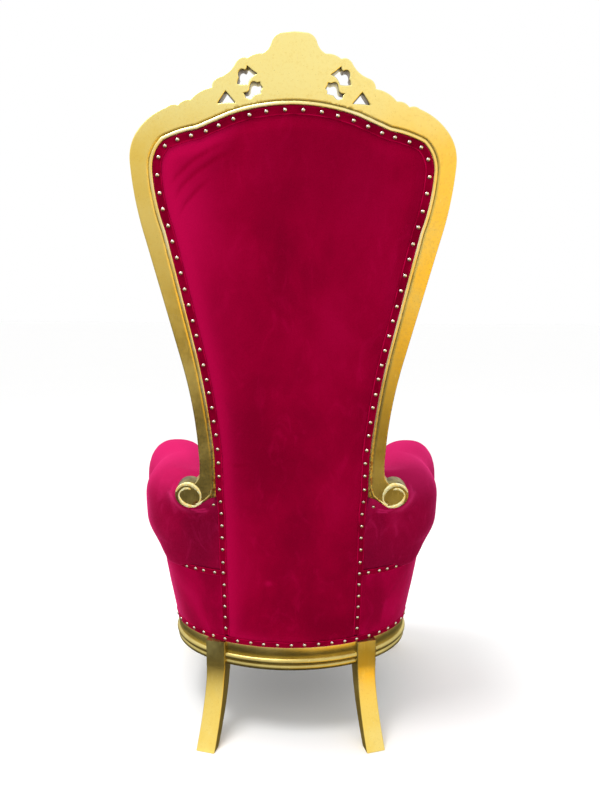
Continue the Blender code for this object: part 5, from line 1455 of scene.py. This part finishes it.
cushion_mesh = swelled("cushion", cushion_mesh, 0.006, 5.0, 0.020, cushion_held)
skin = bmesh.new()
skin.from_mesh(cushion_mesh)
surface = BVHTree.FromBMesh(skin)
for inset, z in ((0.0092, cushion_high - 0.0253), (0.0065, cushion_low + 0.0030)):
    found = [surface.find_nearest((x, y, z)) for x, y in offset_loop(cushion_loop, inset)]
    line = eased([place + normal * 0.0012 for place, normal, _, _ in found])
    along = unit(np.roll(line, -1, axis=0) - np.roll(line, 1, axis=0))
    across = unit(np.cross(along, (0.0, 0.0, 1.0)))
    above = np.cross(across, along)
    rings = [[place + PIPING_RADIUS * (math.cos(turn) * a + math.sin(turn) * b)
              for turn in np.arange(8) * math.pi / 4] for place, a, b in zip(line, across, above)]
    skin.from_mesh(loft("piping", rings, closed=True))
skin.to_mesh(cushion_mesh)
skin.free()
cushion = add_object("velvet_cushion", cushion_mesh, arm_velvet, 60)
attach(cushion, "root")
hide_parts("cushion")


# The upholstery nails: domes pressed from sheet steel and plated a pale champagne, driven in by hand in a row along
# the middle of each strip, each a hair out of line.

NAIL_RADIUS, NAIL_HEIGHT, NAIL_TILT = 0.0048, 0.0034, 0.08
nail_plating, shader, place = new_material("nail_plating", Metallic=1.0)
tarnish = place.clouds(300.0, 3.0, 0.6)
plug(shader, Base_Color=tarnish.over(0.35, 0.75).mix((0.88, 0.84, 0.76), (0.62, 0.54, 0.42)),
     Roughness=tarnish.over(0.2, 0.8, 0.16, 0.34), Normal=bump(tarnish, 0.05, 0.0004))


def nail_row(name, places, normals):
    """Dome-headed nails in one mesh, each square to the velvet and a hair in or out of line."""
    ring_count, sides = 6, 18
    vertices, faces = [], []
    rng = np.random.default_rng(len(places))
    for place, normal in zip(places, normals):
        normal = Vector(normal).normalized()
        turn = normal.to_track_quat("Z", "Y").to_matrix()
        tip, roll = rng.uniform(-NAIL_TILT, NAIL_TILT), rng.uniform(-NAIL_TILT, NAIL_TILT)
        tilted = turn @ (Matrix.Rotation(tip, 3, "X") @ Matrix.Rotation(roll, 3, "Y"))
        centre = Vector(place) + turn @ Vector((*rng.uniform(-0.0006, 0.0006, 2), 0.0006))
        start = len(vertices)
        for r in range(ring_count):
            rise = math.pi / 2 * r / ring_count
            for k in range(sides):
                around = 2 * math.pi * k / sides
                local = Vector((NAIL_RADIUS * math.cos(rise) * math.cos(around),
                                NAIL_RADIUS * math.cos(rise) * math.sin(around), NAIL_HEIGHT * math.sin(rise)))
                vertices.append(centre + tilted @ local)
        vertices.append(centre + tilted @ Vector((0, 0, NAIL_HEIGHT)))
        top = len(vertices) - 1
        for r in range(ring_count - 1):
            for k in range(sides):
                a, b = start + r * sides + k, start + r * sides + (k + 1) % sides
                faces.append((a, b, b + sides, a + sides))
        last = start + (ring_count - 1) * sides
        faces += [(last + k, last + (k + 1) % sides, top) for k in range(sides)]
        faces.append(tuple(start + k for k in range(sides))[::-1])
    mesh = bpy.data.meshes.new(name)
    mesh.from_pydata(vertices, [], faces)
    nails = add_object(name, mesh, nail_plating, 60)
    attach(nails, "root")


hits = []
forwards = back_plane.to_3x3() @ Vector((0.0, 0.0, 1.0))
for word, x, s in (("left", 0.2062, 0.4335), ("right", -0.2150, 0.4280)):
    behind = back_plane @ Vector((x, s, -0.2))
    _, place, normal, _ = bpy.data.objects[f"velvet_arm_{word}"].ray_cast(behind, forwards)
    hits.append((place, normal))
nail_places.append(("stile_foot_nails", [np.array(p) for p, _ in hits], [np.array(n) for _, n in hits]))
for name, places, normals in nail_places:
    nail_row(name, places, normals)
